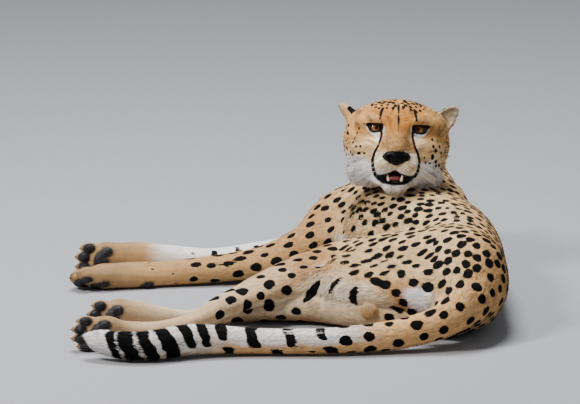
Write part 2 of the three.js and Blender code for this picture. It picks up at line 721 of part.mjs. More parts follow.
// Toe claws: blunt cones that stay out
function claws({ toes }, radius = 3.8, length = 11) {
  return toes.map(({ tip, ahead }) => {
    const claw = new THREE.ConeGeometry(radius, length, 7);
    claw.applyQuaternion(new THREE.Quaternion().setFromUnitVectors(new THREE.Vector3(0, 1, 0), ahead));
    return toSolid(claw.translate(...tip.toArray()));
  });
}

const addTo = (solid, extras) => extras.reduce((sum, extra) => sum.add(extra), solid);
const cutter = (solid) => grow(solid, GAP);

const skullBody = body(skull, MESH.head);
const jawBody = body(jaw, MESH.jaw);
const tongueBody = body(tongue, MESH.tongue);
const trunkBody = body(trunk, MESH.trunk);
const neckBody = body(withFillet(neckTube, trunk, 36, 10), MESH.neck);
const foreLeft = addTo(body(withFillet(forelegLeft, trunk, 26), MESH.limb), claws(paws.fore_left));
const foreRight = addTo(body(withFillet(forelegRight, trunk, 20), MESH.limb), claws(paws.fore_right));
const hindLeft = addTo(body(withFillet(hindlegLeft, trunk, 26), MESH.limb), claws(paws.hind_left));
const hindRight = addTo(body(withFillet(hindlegRight, trunk, 18), MESH.limb), claws(paws.hind_right));
const tail = body(withFillet(tailTube, trunk, 22), MESH.tail);

const [skullCut, jawCut, trunkCut, neckCut] = [skullBody, jawBody, trunkBody, neckBody].map(cutter);
const [foreLeftCut, hindLeftCut, hindRightCut, tailCut] = [foreLeft, hindLeft, hindRight, tail].map(cutter);
const headCuts = [skullCut, jawCut];

// Each body gives way to those named after it.
const flesh = {
  trunk: cutBy(trunkBody, headCuts),
  neck: cutBy(neckBody, [...headCuts, trunkCut]),
  foreLeft: cutBy(foreLeft, [trunkCut, neckCut, ...headCuts]),
  foreRight: cutBy(foreRight, [trunkCut, neckCut, foreLeftCut]),
  hindLeft: cutBy(hindLeft, [trunkCut]),
  tail: cutBy(tail, [trunkCut, hindLeftCut]),
  hindRight: cutBy(hindRight, [trunkCut, hindLeftCut, tailCut]),
};

const p = parting;
const pieces = {
  head: cutBy(skullBody, [...Object.values(eyes).map(cutter), ...lidOpenings.map((lid) => body(lid, [4, 0.25]))]),
  lower_jaw: cutBy(addTo(cutBy(jawBody, [skullCut]), teeth()), [skullCut, cutter(tongueBody)]),
  tongue: cutBy(tongueBody, [skullCut]),
  ear_left: cutBy(body(earLeft, MESH.ear), [skullCut, neckCut]),
  ear_right: cutBy(body(earRight, MESH.ear), [skullCut, neckCut]),
  eye_left: eyes.left,
  eye_right: eyes.right,
  neck: stretch(flesh.neck, {}),

  hips: stretch(flesh.trunk, { to: p.loin }),
  loin: stretch(flesh.trunk, { from: p.loin, to: p.ribs }),
  ribs: stretch(flesh.trunk, { from: p.ribs, to: p.chest }),
  chest: stretch(flesh.trunk, { from: p.chest }),

  foreleg_left_upper: stretch(flesh.foreLeft, { to: p.elbowLeft }),
  foreleg_left_lower: stretch(flesh.foreLeft, { from: p.elbowLeft, to: p.wristLeft }),
  forefoot_left: stretch(flesh.foreLeft, { from: p.wristLeft }),
  foreleg_right_upper: stretch(flesh.foreRight, { to: p.elbowRight }),
  foreleg_right_lower: stretch(flesh.foreRight, { from: p.elbowRight, to: p.wristRight }),
  forefoot_right: stretch(flesh.foreRight, { from: p.wristRight }),

  thigh_left: stretch(flesh.hindLeft, { to: p.kneeLeft }),
  shank_left: stretch(flesh.hindLeft, { from: p.kneeLeft, to: p.hockLeft }),
  hock_left: stretch(flesh.hindLeft, { from: p.hockLeft, to: p.ballLeft }),
  hindfoot_left: stretch(flesh.hindLeft, { from: p.ballLeft }),
  thigh_right: stretch(flesh.hindRight, { to: p.kneeRight }),
  shank_right: stretch(flesh.hindRight, { from: p.kneeRight, to: p.hockRight }),
  hock_right: stretch(flesh.hindRight, { from: p.hockRight, to: p.ballRight }),
  hindfoot_right: stretch(flesh.hindRight, { from: p.ballRight }),

  tail_base: stretch(flesh.tail, { to: p.tailMiddle }),
  tail_middle: stretch(flesh.tail, { from: p.tailMiddle, to: p.tailEnd }),
  tail_end: stretch(flesh.tail, { from: p.tailEnd }),
  scrotum: cutBy(body(ellipsoid([124, 86, 40], [21, 19, 19]), MESH.scrotum), [hindLeftCut, hindRightCut, tailCut]),
};

// ---------------------------------------------------------------- scene graph
const coats = {
  face: [0xc79a63, 0.9], neck: [0xc9a06c, 0.9], trunk: [0xcba873, 0.9], leg: [0xcfae7d, 0.9],
  foot: [0xb98f5e, 0.9], tail: [0xd6bd93, 0.9], ear: [0xb99a76, 0.9], eye: [0x7a4a1c, 0.15],
  tongue: [0xb4544f, 0.5], jaw: [0xe3dccb, 0.9],
};

function coatOf(name) {
  if (name.startsWith('eye')) return coats.eye;
  if (name.startsWith('ear')) return coats.ear;
  if (name.startsWith('tail')) return coats.tail;
  if (name.includes('foot')) return coats.foot;
  if (/^(foreleg|thigh|shank|hock)/.test(name)) return coats.leg;
  return { head: coats.face, lower_jaw: coats.jaw, tongue: coats.tongue, neck: coats.neck }[name] ?? coats.trunk;
}

// The largest connected piece of a solid, leaving crumbs of a cut behind
function largestBody(geometry) {
  const index = geometry.index.array;
  const parent = Array.from({ length: geometry.attributes.position.count }, (_, i) => i);
  const root = (i) => {
    while (parent[i] !== i) i = parent[i] = parent[parent[i]];
    return i;
  };
  for (let t = 0; t < index.length; t += 3) {
    parent[root(index[t])] = root(index[t + 1]);
    parent[root(index[t + 1])] = root(index[t + 2]);
  }
  const sizes = new Map();
  for (let t = 0; t < index.length; t += 3) sizes.set(root(index[t]), (sizes.get(root(index[t])) ?? 0) + 1);
  const main = [...sizes.entries()].sort((a, b) => b[1] - a[1])[0][0];
  const kept = [];
  for (let t = 0; t < index.length; t += 3) {
    if (root(index[t]) === main) kept.push(index[t], index[t + 1], index[t + 2]);
  }
  geometry.setIndex(kept);
  return geometry;
}

const cheetah = new THREE.Group();
cheetah.name = 'cheetah';
for (const [name, solid] of Object.entries(pieces)) {
  const geometry = largestBody(toGeometry(solid));
  const [color, roughness] = coatOf(name);
  const mesh = new THREE.Mesh(geometry, new THREE.MeshStandardMaterial({ color, roughness, metalness: 0 }));
  mesh.name = name;
  cheetah.add(mesh);
}

// Set the origin at the middle of the ground outline.
const bounds = new THREE.Box3().setFromObject(cheetah);
const centre = bounds.getCenter(new THREE.Vector3());
cheetah.position.set(-centre.x, -centre.y, -bounds.min.z);
cheetah.updateMatrixWorld(true);

export default cheetah;
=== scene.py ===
# Looks of the resting cheetah: one skin over all the flesh, a coat of mesh tufts with the same
# markings, eyes, mouth, claws, pads, whiskers, floor, lights and camera.
# Shapes are worked out in the body plan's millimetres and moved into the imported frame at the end.
import math

import bpy
import numpy as np
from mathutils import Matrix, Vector
from mathutils.kdtree import KDTree


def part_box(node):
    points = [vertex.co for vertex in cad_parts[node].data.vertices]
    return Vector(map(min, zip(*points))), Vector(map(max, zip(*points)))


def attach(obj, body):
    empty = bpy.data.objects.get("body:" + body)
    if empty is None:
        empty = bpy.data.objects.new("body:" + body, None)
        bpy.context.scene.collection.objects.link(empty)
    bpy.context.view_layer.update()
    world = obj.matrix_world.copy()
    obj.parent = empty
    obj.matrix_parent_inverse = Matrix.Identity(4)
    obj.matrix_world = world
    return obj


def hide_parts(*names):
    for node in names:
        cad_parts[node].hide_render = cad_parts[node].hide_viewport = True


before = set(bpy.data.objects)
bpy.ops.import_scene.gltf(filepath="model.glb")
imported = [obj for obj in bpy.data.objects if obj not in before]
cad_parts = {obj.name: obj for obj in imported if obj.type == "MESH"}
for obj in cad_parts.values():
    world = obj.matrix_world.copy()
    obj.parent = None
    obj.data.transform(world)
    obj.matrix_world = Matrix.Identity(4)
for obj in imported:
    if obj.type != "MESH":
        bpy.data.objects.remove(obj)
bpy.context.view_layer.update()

RNG = np.random.default_rng(20)

# ---------------------------------------------------------------- driving dimensions (mm)
HEAD_CENTRE = np.array([168.0, 465.0, 214.0])
HEAD_PITCH = math.radians(12.7)
HEAD_ROLL = math.radians(2.5)
EYE_CAD = (37.5, 25.0, 27.0)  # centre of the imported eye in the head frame
EYE = {"radius": 16.0, "across": 36.4, "ahead": 23.4, "over": 28.2}
LID = 1.7  # thickness of the lids over the eyeball
CONTACT = 1.0  # height of the skin over the floor where flesh is pressed flat
REACH = 45.0  # a shape is worked out only this near to its surface
FAR = 1e3  # distance given where nothing is worked out
FLOOR_GAP = 0.3  # lowest that hair and claws come
BLOCK = 8  # grid cells along the side of one block


def unit(v):
    v = np.asarray(v, float)
    return v / np.linalg.norm(v, axis=-1, keepdims=True)


def smooth_step(low, high, value):
    """From 0 at low to 1 at high, easing in and out; low may be the larger."""
    x = np.clip((value - low) / (high - low), 0.0, 1.0)
    return x * x * (3 - 2 * x)


def smooth_min(a, b, k):
    """The lower of two fields, joined by a fillet about k wide."""
    if k <= 0:
        return np.minimum(a, b)
    h = np.maximum(k - np.abs(a - b), 0) / k
    return np.minimum(a, b) - h * h * k / 4


def smooth_max(a, b, k):
    return -smooth_min(-a, -b, k)


def ripple(points, wavelength, seed, waves=7):
    """Smooth noise, about -1 to 1, from a few plane waves."""
    rng = np.random.default_rng(seed)
    total = np.zeros(len(points))
    for _ in range(waves):
        way = unit(rng.normal(size=3)) * 2 * math.pi / (wavelength * rng.uniform(0.7, 1.5))
        total += np.sin(points @ way + rng.uniform(0, 2 * math.pi))
    return total / math.sqrt(waves / 2) * 0.7


# ---------------------------------------------------------------- points in groups
class Cloud:
    """Points kept in groups, so that each shape is worked out only for the groups near it."""

    def __init__(self, points, sizes, centres, radii):
        self.points, self.sizes, self.centres, self.radii = points, sizes, centres, radii

    @classmethod
    def single(cls, points):
        return cls(points, np.ones(len(points), int), points, np.zeros(len(points)))

    @classmethod
    def around(cls, points, cell=24.0):
        key = np.floor(points / cell).astype(np.int64)
        key -= key.min(axis=0)
        code = (key[:, 0] * 4096 + key[:, 1]) * 4096 + key[:, 2]
        order = np.argsort(code, kind="stable")
        _, starts, sizes = np.unique(code[order], return_index=True, return_counts=True)
        centres = np.add.reduceat(points[order], starts, axis=0) / sizes[:, None]
        cloud = cls(points[order], sizes, centres, np.full(len(sizes), cell * 0.9))
        return cloud, order

    def choose(self, groups):
        """The part of the cloud in some groups, and where its points are in the whole."""
        rows = np.flatnonzero(np.repeat(groups, self.sizes))
        return Cloud(self.points[rows], self.sizes[groups], self.centres[groups], self.radii[groups]), rows

    def near(self, distance):
        """Which groups a shape is worked out for, from its distances at their centres."""
        return distance < self.radii * 1.6 + REACH

    def within(self, low, high):
        gap = np.maximum(low - self.centres, self.centres - high).max(axis=1)
        return self.choose(gap < self.radii * 1.2 + REACH)

    def distances(self, low, high, field):
        """A field that is worked out only near its own box."""
        value = np.full(len(self.points), FAR)
        part, rows = self.within(low, high)
        if len(rows):
            value[rows] = field(part)
        return value


# ---------------------------------------------------------------- shapes
def catmull_rom(rows, steps):
    """Rows of numbers on a smooth curve through the given ones."""
    rows = np.asarray(rows, float)
    ends = np.vstack([2 * rows[0] - rows[1], rows, 2 * rows[-1] - rows[-2]])
    out = []
    for a, b, c, d in zip(ends, ends[1:], ends[2:], ends[3:]):
        for t in np.arange(steps) / steps:
            out.append(0.5 * (2 * b + (c - a) * t + (2 * a - 5 * b + 4 * c - d) * t * t
                              + (3 * b - a - 3 * c + d) * t ** 3))
    return np.array(out + [rows[-1]])


class Tube:
    """Tube with elliptical sections; a station is [x, y, z, half width along side, half depth]."""

    def __init__(self, stations, side, steps=4):
        sides = side if np.ndim(side) == 2 else [side] * len(stations)
        rows = catmull_rom(np.hstack([stations, sides]), steps)
        self.start, self.end = rows[:-1], rows[1:]
        self.along = self.end[:, :3] - self.start[:, :3]
        self.length = np.linalg.norm(self.along, axis=1)
        self.axis = self.along / self.length[:, None]
        across = self.start[:, 5:] + self.end[:, 5:]
        self.across = unit(across - self.axis * (across * self.axis).sum(1)[:, None])
        self.arc = np.concatenate([[0], np.cumsum(self.length)])
        reach = rows[:, 3:5].max(axis=1)[:, None]
        self.low, self.high = (rows[:, :3] - reach).min(axis=0), (rows[:, :3] + reach).max(axis=0)

    def link(self, i, p):
        q = p - self.start[i, :3]
        t = q @ self.axis[i] / self.length[i]
        h = np.clip(t, 0, 1)
        q -= (h * self.length[i])[:, None] * self.axis[i]
        s = q @ self.across[i]
        near, far = self.start[i, 3:5], self.end[i, 3:5]
        width, depth = np.maximum(near + (far - near) * h[:, None], 1).T
        sq = (q * q).sum(axis=1)
        k = np.sqrt(s * s / width ** 2 + np.maximum(sq - s * s, 0) / depth ** 2)
        d = np.where(k > 1e-3, np.sqrt(sq) * (1 - 1 / np.maximum(k, 1e-3)), -np.minimum(width, depth))
        return d, t, q, s, width, depth

    def links_near(self, cloud):
        """Number of each link, the rows of the points near it, and how they lie to it."""
        for i in range(len(self.length)):
            near = cloud.near(self.link(i, cloud.centres)[0])
            if near.any():
                part, rows = cloud.choose(near)
                yield i, rows, self.link(i, part.points)

    def at(self, cloud):
        value = np.full(len(cloud.points), FAR)
        for _, rows, found in self.links_near(cloud):
            value[rows] = np.minimum(value[rows], found[0])
        return value

    def places(self, cloud):
        """For each point: arc length along the tube, side and depth (-1 to 1) and the way of the axis."""
        count = len(cloud.points)
        value, arc = np.full(count, FAR), np.zeros(count)
        side, deep, axis = np.zeros(count), np.zeros(count), np.tile([1.0, 0, 0], (count, 1))
        last = len(self.length) - 1
        for i, rows, (d, t, q, s, width, depth) in self.links_near(cloud):
            better = d < value[rows]
            low, high = (-9 if i == 0 else 0), (9 if i == last else 1)
            rows = rows[better]
            value[rows] = d[better]
            arc[rows] = self.arc[i] + np.clip(t[better], low, high) * self.length[i]
            side[rows] = (s / width)[better]
            deep[rows] = (q @ np.cross(self.axis[i], self.across[i]) / depth)[better]
            axis[rows] = self.axis[i]
        return {"arc": arc, "side": side, "deep": deep, "axis": axis}


class Blob:
    """Ellipsoid with radii along its own axes."""

    def __init__(self, centre, radii, axes=np.eye(3)):
        self.centre, self.radii, self.axes = np.asarray(centre, float), np.asarray(radii, float), unit(axes)
        self.low, self.high = self.centre - self.radii.max(), self.centre + self.radii.max()

    def value(self, p):
        q = (p - self.centre) @ self.axes.T
        k = np.sqrt(((q / self.radii) ** 2).sum(axis=1))
        length = np.sqrt((q * q).sum(axis=1))
        return np.where(k > 1e-3, length * (1 - 1 / np.maximum(k, 1e-3)), -self.radii.min())

    def at(self, cloud):
        value = np.full(len(cloud.points), FAR)
        part, rows = cloud.choose(cloud.near(self.value(cloud.centres)))
        value[rows] = self.value(part.points)
        return value


class Join:
    """Shapes joined one after another, each with the width of its fillet."""

    def __init__(self, entries):
        self.entries = entries
        self.low = np.min([shape.low for shape, _ in entries], axis=0)
        self.high = np.max([shape.high for shape, _ in entries], axis=0)

    def blend(self, cloud):
        value = np.full(len(cloud.points), FAR)
        for shape, k in self.entries:
            value = smooth_min(value, shape.at(cloud), k)
        return value

    def at(self, cloud):
        return cloud.distances(self.low, self.high, self.blend)


# ---------------------------------------------------------------- body plan
def rolled(degrees):
    """Way of the side of a section that is rolled about the length of the trunk."""
    angle = math.radians(degrees)
    return [-math.sin(angle), 0, math.cos(angle)]


TRUNK = Tube([
    [256, 58, 66, 42, 50],  # seat bones
    [262, 125, 73, 76, 74],  # hips
    [264, 215, 73, 77, 74],  # loin
    [254, 305, 74, 79, 82],  # waist
    [222, 385, 75, 81, 106],  # last ribs
    [196, 455, 75, 81, 116],  # deepest chest
    [184, 530, 76, 80, 106],  # shoulders
    [188, 600, 96, 60, 82],  # front of the chest
], [rolled(n) for n in (20, 20, 12, 6, 2, 0, 4, 8)], 5)

NECK = Tube([
    [180, 545, 104, 60, 80],
    [185, 598, 124, 56, 66],
    [187, 610, 160, 52, 55],
    [179, 588, 192, 50, 53],
    [171, 545, 208, 50, 52],
    [168, 510, 214, 50, 52],  # back of the skull
], [rolled(8), [-0.7, -0.3, 0.6], [-0.9, -0.2, 0.2], [-1, 0, 0], [-1, 0, 0], [-1, 0, 0]], 5)

FORE_LEFT = Tube([
    [236, 505, 122, 22, 38],  # top of the shoulder blade
    [196, 562, 118, 28, 50],
    [148, 598, 102, 32, 50],  # point of the shoulder
    [88, 540, 92, 34, 52],
    [34, 474, 60, 30, 40],  # elbow
    [-40, 452, 34, 23, 34],
    [-120, 440, 24, 21.5, 28],
    [-200, 426, 19, 19, 24],
    [-228, 420, 19, 20, 25],  # wrist
    [-262, 411, 20, 20, 24],
    [-290, 404, 20, 18, 22],
], [0, -0.35, 0.94])

FORE_RIGHT = Tube([
    [244, 520, 34, 22, 40],
    [198, 572, 42, 30, 50],
    [158, 600, 50, 34, 50],  # point of the shoulder
    [92, 568, 42, 36, 46],
    [40, 515, 36, 33, 36],  # elbow
    [-40, 503, 29, 28, 30],
    [-120, 494, 23, 23.5, 25],
    [-178, 484, 26, 26, 21],
    [-210, 478, 28, 28, 20],
    [-243, 474, 30, 30, 20],  # wrist, on edge
    [-270, 470, 30, 29, 18],
    [-290, 467, 30, 27, 17],
], [0, 0.1, 1])

HIND_LEFT = Tube([
    [256, 132, 100, 42, 66],  # hip
    [206, 180, 98, 44, 72],
    [140, 240, 84, 40, 62],
    [92, 292, 70, 34, 46],  # knee
    [42, 250, 66, 30, 46],
    [0, 206, 62, 27, 40],
    [-45, 160, 58, 21, 30],
    [-84, 122, 50, 18, 23],
    [-106, 98, 43, 19, 23],  # point of the hock
    [-150, 62, 28, 16, 17],
    [-200, 34, 22, 15.5, 16],
    [-241, 18, 23, 18, 18],
    [-272, 6, 26, 22, 18],
], [0, -0.3, 0.95])

HAM_LEFT = Tube([
    [258, 66, 84, 26, 40],
    [212, 80, 80, 34, 48],
    [150, 112, 74, 32, 48],
    [92, 150, 64, 28, 42],
    [40, 180, 58, 24, 30],
    [-20, 158, 54, 14, 18],
    [-80, 104, 44, 8, 10],
], [0, -0.5, 0.85])

HIND_RIGHT = Tube([
    [252, 140, 34, 36, 60],  # hip, against the floor
    [215, 190, 35, 38, 66],
    [165, 255, 34, 36, 60],
    [112, 305, 32, 32, 44],  # knee
    [60, 268, 30, 30, 38],
    [10, 228, 26, 26, 32],
    [-45, 190, 22, 22, 25],
    [-85, 168, 20, 20, 20],
    [-106, 156, 20, 21, 20],  # point of the hock
    [-155, 125, 17, 17, 16],
    [-190, 110, 22, 20, 16],
    [-216, 98, 26, 23, 17],
    [-236, 90, 29, 27, 18],
    [-256, 82, 30, 29, 18],
], [0, 0.1, 1])

HAM_RIGHT = Tube([
    [240, 80, 34, 34, 36],
    [200, 95, 34, 36, 46],
    [140, 122, 33, 34, 46],
    [85, 152, 31, 31, 42],
    [40, 174, 28, 28, 36],
    [-20, 172, 25, 22, 28],
    [-70, 160, 22, 14, 16],
], [0, 0.1, 1])

TAIL = Tube([
    [292, 100, 76, 36, 36],  # root
    [276, 44, 66, 32, 33],
    [244, 8, 50, 29, 30],
    [206, -4, 36, 26.5, 26.5],
    [150, -16, 26, 25, 25],
    [70, -30, 22, 22.5, 22.5],
    [0, -32, 21, 22, 22],
    [-60, -31, 21.5, 22.5, 22.5],
    [-110, -35, 24.5, 24.5, 24.5],
    [-153, -45, 27, 26, 26],  # fullest, among the black rings
    [-190, -62, 25, 25, 25],
    [-222, -71, 24, 24, 24],
    [-256, -69, 24.5, 22, 22],
    [-282, -62, 28, 19, 19],
    [-299, -56, 32, 11, 11],  # white tip
], [0, -0.3, 0.95])


class Paw:
    """Four toes in a fan ahead of the ball of the foot, with pads on the sole."""

    def __init__(self, centre, forward, spread, width, length, thick=18.0):
        self.centre = np.asarray(centre, float)
        self.ahead = unit(forward)
        spread = unit(spread)
        self.across = unit(spread - self.ahead * (spread @ self.ahead))
        self.sole = -np.cross(self.ahead, self.across)
        axes = [self.ahead, self.across, -self.sole]
        self.toes = [self.centre + self.across * width * side + self.ahead * length * front
                     for side, front in ((-0.36, 0.4), (-0.13, 0.54), (0.13, 0.54), (0.36, 0.4))]
        self.tips = [toe + self.ahead * length * 0.25 for toe in self.toes]
        ball = Blob(self.centre, [length * 0.55, width * 0.5, thick], axes)
        self.flesh = [(ball, 12)] + [
            (Blob(toe, [length * 0.28, width * 0.155, thick * 0.75], axes), 3.5) for toe in self.toes]
        radii = [length * 0.16, width * 0.125, thick * 0.34]
        pads = [(toe + self.sole * thick * 0.44 + self.ahead * 2, radii) for toe in self.toes]
        for side, front, long, wide in ((0, 0.1, 0.22, 0.29), (-0.22, -0.04, 0.19, 0.16),
                                        (0.22, -0.04, 0.19, 0.16), (0, 0.0, 0.17, 0.2)):
            middle = self.centre + self.across * width * side + self.ahead * length * front
            pads.append((middle + self.sole * thick * 0.64, [length * long, width * wide, thick * 0.42]))
        self.pads = Join([(Blob(place, radii, axes), 2) for place, radii in pads])


PAWS = {
    "fore_left": Paw([-297, 402, 20], [-1, -0.16, 0], [0, -0.9, 0.45], 50, 60),
    "fore_right": Paw([-293, 466, 30], [-1, -0.1, 0], [0, 0.15, 1], 60, 58),
    "hind_left": Paw([-284, 0, 26], [-1, -0.12, 0], [0, 0.15, 1], 54, 58),
    "hind_right": Paw([-266, 78, 30], [-1, -0.12, 0], [0, 0.1, 1], 58, 54),
}
# Pads higher on the legs: the wrist pads of the forelegs
WRIST_PADS = {
    "fore_left": Join([(Blob([-226, 402, 8], [11, 7, 6]), 0)]),
    "fore_right": Join([(Blob([-222, 457, 22], [11, 5, 7]), 0)]),
}

SCROTUM = Blob([124, 86, 40], [21, 19, 19])
LIMBS = {
    "fore_left": Join([(FORE_LEFT, 0), *PAWS["fore_left"].flesh]),
    "fore_right": Join([(FORE_RIGHT, 0), *PAWS["fore_right"].flesh]),
    "hind_left": Join([(HIND_LEFT, 0), (HAM_LEFT, 20), (Blob([118, 204, 76], [66, 52, 32]), 14),
                       *PAWS["hind_left"].flesh]),
    "hind_right": Join([(HIND_RIGHT, 0), (HAM_RIGHT, 18), (Blob([104, 218, 32], [66, 56, 32]), 14),
                        *PAWS["hind_right"].flesh]),
    "tail": Join([(TAIL, 0)]),
    "scrotum": Join([(SCROTUM, 0)]),
}
# Fillets where neck and trunk, head and neck, and ear and head meet, and where each part meets the trunk
NECK_FILLET, HEAD_FILLET, EAR_FILLET = 36, 12, 5
FILLETS = {"fore_left": 26, "fore_right": 20, "hind_left": 26, "hind_right": 18, "tail": 22, "scrotum": 8}

# ---------------------------------------------------------------- head
AHEAD = np.array([0, -math.cos(HEAD_PITCH), math.sin(HEAD_PITCH)])
OVER_0 = np.array([0, math.sin(HEAD_PITCH), math.cos(HEAD_PITCH)])
ACROSS = np.array([math.cos(HEAD_ROLL), 0, 0]) - OVER_0 * math.sin(HEAD_ROLL)
OVER = OVER_0 * math.cos(HEAD_ROLL) + np.array([math.sin(HEAD_ROLL), 0, 0])
HEAD_AXES = np.array([ACROSS, AHEAD, OVER])
BOTH = (-1, 1)


def on_head(place):
    """Place in the plan of one given on the head: across, ahead and over its centre."""
    return HEAD_CENTRE + np.asarray(place, float) @ HEAD_AXES


def to_head(points):
    return (points - HEAD_CENTRE) @ HEAD_AXES.T


def head_tube(stations, side):
    return Tube([[*on_head(row[:3]), *row[3:]] for row in stations], np.asarray(side, float) @ HEAD_AXES)


def head_blob(place, radii, axes=np.eye(3)):
    return Blob(on_head(place), radii, np.asarray(axes, float) @ HEAD_AXES)


SKULL = Join([
    (head_blob([0, -26, 28], [69, 66, 50]), 0),
    (head_blob([0, -28, 40], [75, 60, 35.5]), 6),  # crown
    (head_blob([0, 10, 36], [52, 38, 31]), 18),
] + [entry for s in BOTH for entry in (
    # brow, the flesh round the eye, cheekbone
    (head_tube([[s * 12, 42, 36, 8, 8], [s * 34, 38, 41, 9, 8], [s * 56, 16, 36, 11, 11]], [0, 0, 1]), 14),
    (head_blob([s * 37.5, 21, 27], [20, 16.5, 17]), 10),
    (head_tube([[s * 28, 44, 2, 13, 13], [s * 50, 20, 2, 17, 17], [s * 58, -20, 6, 20, 22]], [0, 0, 1]), 16),
    (head_blob([s * 62, -24, 20], [20, 28, 30]), 14),  # temple, below the ear
    (head_blob([s * 43, -14, -14], [34, 46, 42]), 20),  # cheek
    (head_blob([s * 37, -8, -36], [32, 40, 22]), 16),  # ruff
)] + [
    (head_tube([[0, 36, 30, 19, 18], [0, 58, 12, 18, 17], [0, 74, -4, 15, 15]], [0, 0, 1]), 18),  # bridge
    (head_blob([0, 38, -20], [38, 38, 34]), 16),
] + [(head_blob([s * 17, 61, -28], [20, 21, 17]), 10) for s in BOTH])  # whisker pads

JAW = Join([(head_blob([-1, 54, -65], [17, 17, 12]), 0)] + [
    (head_tube([[s * 10, 60, -61, 7, 9], [s * 25, 26, -53, 8, 12], [s * 37, -10, -45, 12, 16]], [0, 0, 1]), 9)
    for s in BOTH
] + [(head_blob([0, 6, -51], [28, 34, 12]), 9)])

NOSE = Join([
    (head_blob([0, 76.5, -12.5], [19.5, 10.5, 6.2]), 0),
    (head_blob([0, 78, -18.5], [9, 10, 9.5]), 6),
] + [(head_blob([s * 13.2, 78, -14.8], [7.2, 8.5, 6.0]), 4) for s in BOTH])
NOSTRILS = [
    head_blob([s * 9.8, 88, -16.5], [4.9, 7, 3.1], [[1, 0, s * 0.5], [0, 1, 0], [-s * 0.5, 0, 1]])
    for s in BOTH
] + [
    head_tube([[s * 12, 86, -18, 1.3, 1.5], [s * 17, 80, -14.5, 1.3, 1.5], [s * 20, 73, -11, 0.8, 1]],
              [0, 0, 1]) for s in BOTH]
PHILTRUM = head_tube([[0, 88, -24, 1.2, 2.4], [0, 84, -32, 1.2, 2.6], [0, 80, -39, 1.4, 3]], [1, 0, 0])
MOUTH = Join([
    (head_blob([-2.5, 60, -47.3], [14.5, 34, 6.0]), 0),
    (head_tube([[-2.2, 88, -43.5, 4.5, 5.5], [-2.2, 60, -43, 8, 5.5], [-2.2, 40, -43, 8, 6]], [1, 0, 0]), 5),
])
LIP_LINE = Join([(head_tube([
    [s * 6, 82, -42, 1, 5], [s * 18, 74, -46.5, 1, 5], [s * 28, 56, -49.5, 1.2, 6], [s * 34, 38, -51, 1, 5],
], [0, 0, 1]), 0) for s in BOTH])
TONGUE = head_tube([[-1, 22, -48, 13, 5], [-1.5, 46, -47, 13, 5], [-2.5, 63, -48.5, 10, 4.4]], [1, 0, 0])


class Ear:
    """A rounded cup that narrows to its tip, scooped out on the side it opens to."""

    def __init__(self, stations, side, opening, scoop, back):
        stations = np.array(stations, float)
        self.base, self.way = stations[0, :3], stations[-1, :3] - stations[0, :3]
        self.opening, self.back = unit(opening), unit(back)
        self.outer = head_tube(stations - [0, 0, 0, 0.8, 0.8], side)
        hollow = stations * [1, 1, 1, 0.78, 0.8]
        hollow[:, :3] += self.opening * scoop
        self.inner = head_tube(hollow, side)
        self.low, self.high = self.outer.low, self.outer.high

    def at(self, cloud):
        return smooth_max(self.outer.at(cloud), -self.inner.at(cloud), 2.0)

    def place(self, local):
        """How far places on the head are along the ear (0 to 1), toward its opening and its black patch."""
        q = local - self.base
        t = q @ self.way / (self.way @ self.way)
        q = q - t[:, None] * self.way
        return t, q @ self.opening, q @ self.back


EARS = {
    "left": Ear([[58, -26, 31, 19, 11], [72, -27, 45, 17.5, 11.5],
                 [82, -28, 55.5, 13.5, 9.5], [89.5, -28, 63, 8, 7]],
                [-0.69, 0, 0.72], [0, 1, 0], 7.5, [-0.3, -0.9, 0.3]),  # pricked, open to the front
    "right": Ear([[-58, -30, 34, 17, 10], [-71, -31, 46, 14.5, 10],
                  [-80, -32, 55, 11, 8.5], [-86.5, -32, 61, 7, 6.5]],
                 [0.48, -0.76, 0.45], [-0.53, -0.66, -0.53], 7, [0.68, 0.2, 0.7]),  # turned back
}


def eye_place(s):
    return np.array([s * EYE["across"], EYE["ahead"], EYE["over"]])


def lid_edges(a):
    """Heights of the edges of the upper and the lower lid at a place across the head (mm)."""
    upper = 33.7 + 0.6 * (1 - ((a - 37.5) / 12) ** 2)
    lower = 24.9 + 2.6 * (np.maximum(34 - a, 0) / 8) ** 2 + 9.0 * (np.maximum(a - 36, 0) / 12.2) ** 3
    return upper, lower


def lid_gap(local, s):
    """How far a place in the head frame is inside the opening of the lids (mm, seen from the front)."""
    a, c = local[:, 0] * s, local[:, 2]
    upper, lower = lid_edges(a)
    return np.minimum(np.minimum(upper - c, (c - lower) * 0.85), a - 25.6)


def head_skin(cloud):
    """Skin of the head: skull and jaw with nose, lids and mouth."""
    local = to_head(cloud.points)
    # The skull's and the jaw's skin lie a little under the tips of their coat
    skull = smooth_min(SKULL.at(cloud) + 0.9, NOSE.at(cloud), 3)
    head = smooth_min(skull, JAW.at(cloud) + 0.8, 7)
    # Shallow socket round each eye, then the lids over the ball with a crease above the upper one
    for s in BOTH:
        away = np.linalg.norm(local - eye_place(s), axis=1)
        front = local[:, 1] - EYE["ahead"]
        head = smooth_max(head, 15.0 - away, 7)
        head = smooth_min(head, away - EYE["radius"] - LID, 3.0)
        fold = np.abs(local[:, 2] - lid_edges(local[:, 0] * s)[0] - 5.5)
        beside = np.abs(local[:, 0] * s - 37.5)
        head += 0.8 * smooth_step(2.2, 0, fold) * smooth_step(14, 8, beside) * smooth_step(0, 6, front)
        opening = lid_gap(local, s)
        head = smooth_max(head, np.minimum(opening, front - 3.0), 0.9)
    for shape, k in ((MOUTH, 2.5), (LIP_LINE, 1.5), *((shape, 1.2) for shape in (*NOSTRILS, PHILTRUM))):
        head = smooth_max(head, -shape.at(cloud), k)
    return head


# ---------------------------------------------------------------- whole animal
def coat_depth(name, cloud):
    """How far the skin of each part lies under the tips of its coat."""
    if name in PAWS:
        return 3.0 - 1.9 * smooth_step(-60, -250, cloud.points[:, 0])
    return {"trunk": 3.4, "neck": 3.2, "tail": 3.4, "scrotum": 4.5}[name]


